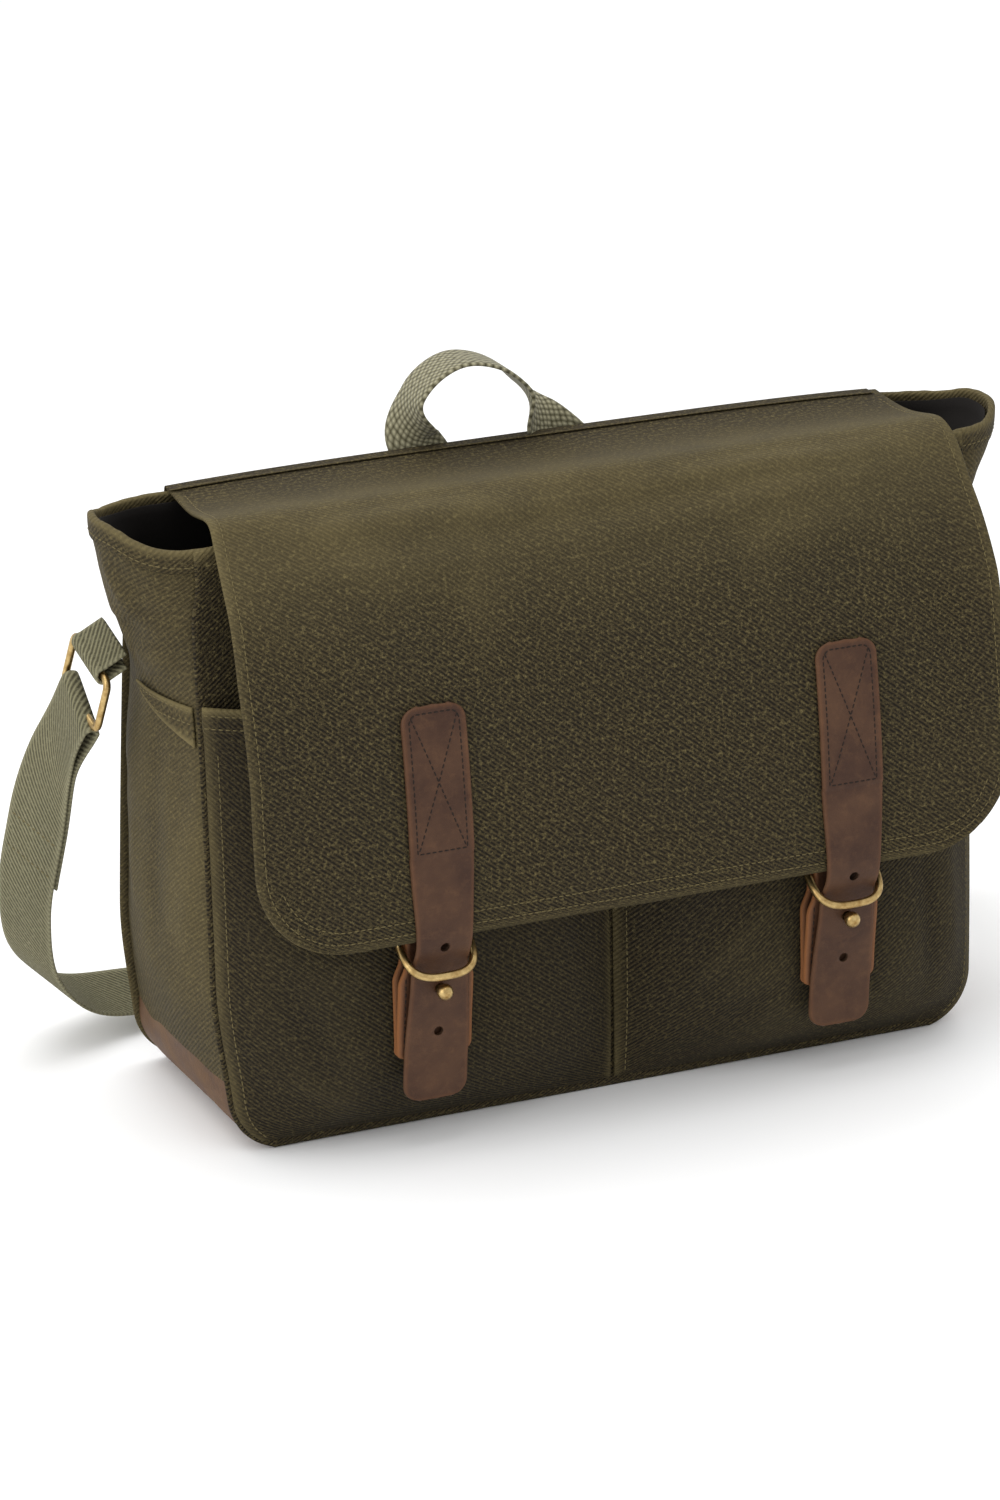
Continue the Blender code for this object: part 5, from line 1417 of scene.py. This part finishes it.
handle = {
    "width": 0.025, "spread": 0.044, "axisZ": 0.289, "seam": 0.030,
    "routeX": (-0.044, -0.050, -0.059, -0.060, -0.050, -0.034, -0.015, 0.000, 0.009, 0.022, 0.044),
    "routeZ": (0.289, 0.299, 0.312, 0.330, 0.343, 0.349, 0.344, 0.331, 0.314, 0.301, 0.289),
}
carry = {
    "swingY": 0.027, "swingZ": 0.229, "ringX": 0.2330, "tilt": 15.0, "lean": 8.0,
    "ringHalf": 0.0222, "ringDrop": 0.0270, "wire": 0.0019, "tabWidth": 0.032, "width": 0.038,
    "turn": 20.0, "foldBack": 0.110,
    "sliderX": 0.095, "sliderLength": 0.028, "sliderBar": 0.0035, "sliderThick": 0.0024,
    "route": ((-0.2450, 0.0545, 0.1690), (-0.2500, 0.0700, 0.1220), (-0.2510, 0.0810, 0.0860),
              (-0.2430, 0.0920, 0.0500), (-0.2180, 0.1050, 0.0240), (-0.1780, 0.1160, 0.0140),
              (-0.1000, 0.1205, 0.0108), (0.0, 0.1210, 0.0100)),
}


def ribbon(centres, across, width, thick, outside, columns=13, finish=0):
    # webbing: straight across at every point of a path, a touch thinner at its woven edges
    share = np.linspace(-0.5, 0.5, columns)
    grid = centres[:, None] + across[:, None] * (share * width)[None, :, None]
    thickness = thick * (1 - 0.18 * np.abs(2 * share) ** 8)[None] + np.zeros((len(centres), 1))
    reach = np.concatenate([[0], np.cumsum(np.linalg.norm(np.diff(centres, axis=0), axis=1))])
    flat = np.stack(np.broadcast_arrays((share * width)[None], reach[:, None]), axis=-1)
    wear = 0.5 * np.exp(-((0.5 - np.abs(share)) * width / 0.0012) ** 2)[None] + np.zeros((len(centres), 1))
    return shell(grid, thickness, outside, wear, (finish, finish, finish), flat=flat.copy(), soft=0.8)


def makeHandle():
    y = float(backSkin(handle["axisZ"])) + bag["gap"] + bag["webbing"] / 2
    knots = np.stack([handle["routeX"], np.full(11, y), handle["routeZ"]], axis=-1)
    arch = smoothCurve(knots, 12)
    downZ = np.linspace(handle["axisZ"] - handle["seam"], handle["axisZ"] - 0.001, 24)
    lower = np.stack([0 * downZ, backSkin(downZ) + bag["gap"] + bag["webbing"] / 2, downZ], axis=-1)
    leftEnd = lower + np.array([-handle["spread"], 0, 0])
    rightEnd = (lower + np.array([handle["spread"], 0, 0]))[::-1]
    count = len(arch)
    flow = unit(np.gradient(arch, axis=0))
    twist = (np.pi / 2 * smoothStep((arch[:, 2] - 0.300) / 0.034))[:, None]
    deep = np.array([0.0, 1.0, 0.0])
    first = np.where(np.arange(count) < count / 2, 1.0, -1.0)[:, None] * np.array([1.0, 0.0, 0.0])
    flat = -np.cross(flow, deep)
    level = smoothStep((arch[:, 2] - handle["axisZ"] - 0.004) / 0.016)[:, None]
    flat = unit(first * (1 - level) + flat * level)
    across = flat * np.cos(twist) - deep * np.sin(twist)
    ends = np.tile((1.0, 0.0, 0.0), (24, 1))
    centres = np.concatenate([leftEnd, arch, rightEnd])
    allAcross = np.concatenate([ends, across, -ends])
    part = ribbon(centres, allAcross, handle["width"], bag["webbing"], (0, 1, 0))
    parts = [part]
    for x in (-handle["spread"], handle["spread"]):
        inner, top = handle["width"] / 2 - 0.003, handle["axisZ"] - 0.004
        low = handle["axisZ"] - handle["seam"] + 0.003
        route = np.array([(-inner, low), (inner, low), (inner, top), (-inner, top), (-inner, low), (inner, top),
                          (inner, low), (-inner, top)])
        for a, b in zip(route[:-1], route[1:]):
            line = a[None] + (b - a)[None] * np.linspace(0, 1, 30)[:, None]
            path = np.stack([x + line[:, 0], backSkin(line[:, 1]) + bag["gap"] + bag["webbing"], line[:, 1]],
                            axis=-1)
            parts.append(stitches(path, np.tile((0.0, 1.0, 0.0), (30, 1)), 1))
    piece = makePiece("grabHandle", parts, [handleWeave, tanThread])
    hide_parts("grab_handle", "left_handle_end", "right_handle_end")
    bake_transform(piece)


def sideFrame(side):
    tilt, lean = np.radians(carry["tilt"]), np.radians(carry["lean"])
    bars = np.array([0.0, np.cos(tilt), np.sin(tilt)])
    down = np.array([side * np.sin(lean), np.sin(tilt) * np.cos(lean), -np.cos(tilt) * np.cos(lean)])
    return bars, down


def makeSideRing(side, word):
    bars, down = sideFrame(side)
    top = np.array([side * carry["ringX"], carry["swingY"], carry["swingZ"]])
    corner, half, drop = 0.004, carry["ringHalf"], carry["ringDrop"]
    parts = []
    for sign, low, first in ((1, 0, 0), (1, 1, 90), (-1, 1, 180), (-1, 0, 270)):
        turn = np.radians(first - 90 + np.linspace(0, 90, 7))
        parts.append(top + bars * (sign * (half - corner) + corner * np.cos(turn))[:, None]
                     + down * (corner + low * (drop - 2 * corner) + corner * np.sin(turn))[:, None])
    loop = np.concatenate(parts)
    loop = evenly(np.concatenate([loop, loop[:1]]), 97)[:-1]
    part = tube(loop, carry["wire"] * 0.99, np.cross(bars, down), sides=18)
    piece = makePiece(word + "SideRing", [part], [brass])
    settle(piece, "carry_strap", "aged_brass", word + "_side_ring")


def makeSideTab(side, word):
    bars, _ = sideFrame(side)
    top = np.array([side * carry["ringX"], carry["swingY"], carry["swingZ"]])
    radius = carry["wire"] + 2 * bag["gap"] + bag["webbing"] / 2
    root = sidePoint(np.array(halfWidth), np.array(carry["swingZ"]), np.array(np.pi * 0.62), bag["canvas"] / 2)
    root = relaxed(root * np.array([side, 1, 1]))
    wall = abs(root[0]) + bag["canvas"] / 2 + bag["gap"] + 0.0004
    upper = np.array([side * wall, carry["swingY"], carry["swingZ"] + 0.006 + radius])
    lower = np.array([side * wall, carry["swingY"], carry["swingZ"] + 0.006 - radius])
    turn = np.pi / 2 - np.linspace(0, np.pi, 20)
    bend = top + np.stack([side * np.cos(turn), 0 * turn, np.sin(turn)], axis=-1) * radius
    rise = np.array([0, 0, radius])
    line = np.concatenate([[upper, (upper + top + rise) / 2], bend, [(lower + top - rise) / 2, lower]])
    line = evenly(line, 60)
    across = np.tile(bars, (60, 1))
    outward = np.broadcast_to((line - (top - np.array([side * 0.004, 0, 0])))[:, None], (60, 13, 3))
    part = ribbon(line, across, carry["tabWidth"], bag["webbing"], outward)
    piece = makePiece(word + "SideTab", [part], [strapTwill])
    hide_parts(word + "_side_tab")
    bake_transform(piece)


def carryFrames():
    # middle line of the long strap with its width direction and the direction towards the bag
    bars, down = sideFrame(-1)
    first = np.array([-carry["ringX"], carry["swingY"], carry["swingZ"]]) + down * carry["ringDrop"]
    half = np.concatenate([[first], carry["route"]])
    other = half[:-1][::-1] * np.array([-1, 1, 1])
    path = smoothCurve(np.concatenate([half, other]), 16)
    flow = unit(np.gradient(path, axis=0))
    # the strap turns its face forwards at the sides, by an angle that grows below the rings
    reach = np.concatenate([[0], np.cumsum(np.linalg.norm(np.diff(path, axis=0), axis=1))])
    away = np.minimum(reach, reach[-1] - reach)
    turn = np.radians(carry["turn"]) * smoothStep((away - 0.010) / 0.070) * (1 - smoothStep((away - 0.17) / 0.12))
    wide = bars * np.cos(turn)[:, None] + np.sign(path[:, :1]) * np.array([1.0, 0, 0]) * np.sin(turn)[:, None]
    across = unit(wide - flow * np.sum(flow * wide, axis=1)[:, None])
    return path, across, unit(np.cross(flow, across))


def makeCarryStrap():
    path, across, inward = carryFrames()
    reach = np.concatenate([[0], np.cumsum(np.linalg.norm(np.diff(path, axis=0), axis=1))])
    radius = carry["wire"] + 2 * bag["gap"] + bag["webbing"] / 2
    near = bag["webbing"] + 2 * bag["gap"]
    away = np.minimum(reach, reach[-1] - reach)
    apart = smoothStep(away / 0.035)[:, None]
    outer = path - inward * radius * (1 - apart)
    inner = path + inward * (radius * (1 - apart) + near * apart)
    sliderAt = int(np.argmax(path[:, 0] > carry["sliderX"] + carry["sliderLength"] * 0.7))
    folded = int(np.sum(reach <= carry["foldBack"]))
    turn = np.linspace(0, np.pi, 20)[1:-1]

    def wrap(point, flow, inside):
        flow = unit(flow - inside * (flow @ inside))
        return point + (inside * np.cos(turn)[:, None] - flow * np.sin(turn)[:, None]) * radius

    startWrap = wrap(path[0], path[1] - path[0], inward[0])
    endWrap = wrap(path[-1], path[-2] - path[-1], inward[-1])[::-1]
    last = len(path) - 1
    centres = np.concatenate([inner[:folded][::-1], startWrap, outer, endWrap, inner[last:sliderAt:-1]])
    sides = np.concatenate([across[:folded][::-1], np.tile(across[0], (18, 1)), across,
                            np.tile(across[-1], (18, 1)), across[last:sliderAt:-1]])
    outside = np.zeros((len(centres), 13, 3))
    start = folded + 18
    outside[start:start + last + 1] = -inward[:, None]
    part = ribbon(centres, sides, carry["width"], bag["webbing"], outside)
    parts = [part]
    for place in (0.100, 0.083):
        row = int(np.argmin(np.abs(reach - place)))
        edge = np.linspace(-0.5, 0.5, 30) * (carry["width"] - 0.005)
        points = outer[row] + across[row] * edge[:, None] - inward[row] * bag["webbing"] / 2
        parts.append(stitches(points, np.tile(-inward[row], (30, 1)), 1))
    piece = makePiece("shoulderStrap", parts, [strapTwill, tanThread])
    settle(piece, "carry_strap", "cotton_webbing", "shoulder_strap")

    pick = int(np.argmin(np.abs(path[:, 0] - carry["sliderX"])))
    flow = unit(np.cross(across[pick], inward[pick]))
    centre = path[pick] + inward[pick] * (bag["webbing"] / 2 + bag["gap"] + carry["sliderThick"] / 2 + 0.0004)
    halfLong = carry["sliderLength"] / 2 - 0.0014
    halfWide = carry["width"] / 2 + bag["gap"] + carry["sliderBar"] - 0.0014
    corner = 0.004
    parts = []
    corners = []
    for sx, sy, first in ((1, 1, 0), (-1, 1, 90), (-1, -1, 180), (1, -1, 270)):
        bend = np.radians(first + np.linspace(0, 90, 7))
        corners.append(np.stack([sx * (halfLong - corner) + corner * np.cos(bend),
                                 sy * (halfWide - corner) + corner * np.sin(bend)], axis=-1))
    loop = np.concatenate(corners)
    loop = evenly(np.concatenate([loop, loop[:1]]), 91)[:-1]
    loop3 = centre + flow * loop[:, :1] + across[pick] * loop[:, 1:]
    parts.append(tube(loop3, 0.00135, inward[pick], sides=14))
    bar = np.linspace(-1, 1, 12)[:, None] * (halfWide - 0.001)
    parts.append(tube(centre + across[pick] * bar, 0.0013, inward[pick], sides=14, closed=False))
    piece = makePiece("strapSlider", parts, [brass])
    settle(piece, "carry_strap", "aged_brass", "strap_slider")


makeHandle()
for side, word in ((-1, "left"), (1, "right")):
    makeSideRing(side, word)
    makeSideTab(side, word)
makeCarryStrap()
print("webbing ready")

for node, finish in (("base_board", greyBoard), ("bottom_panel", liningCotton),
                     ("left_stud_screw", brass), ("right_stud_screw", brass)):
    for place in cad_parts[node].material_slots:
        place.material = finish

print("all pieces ready")
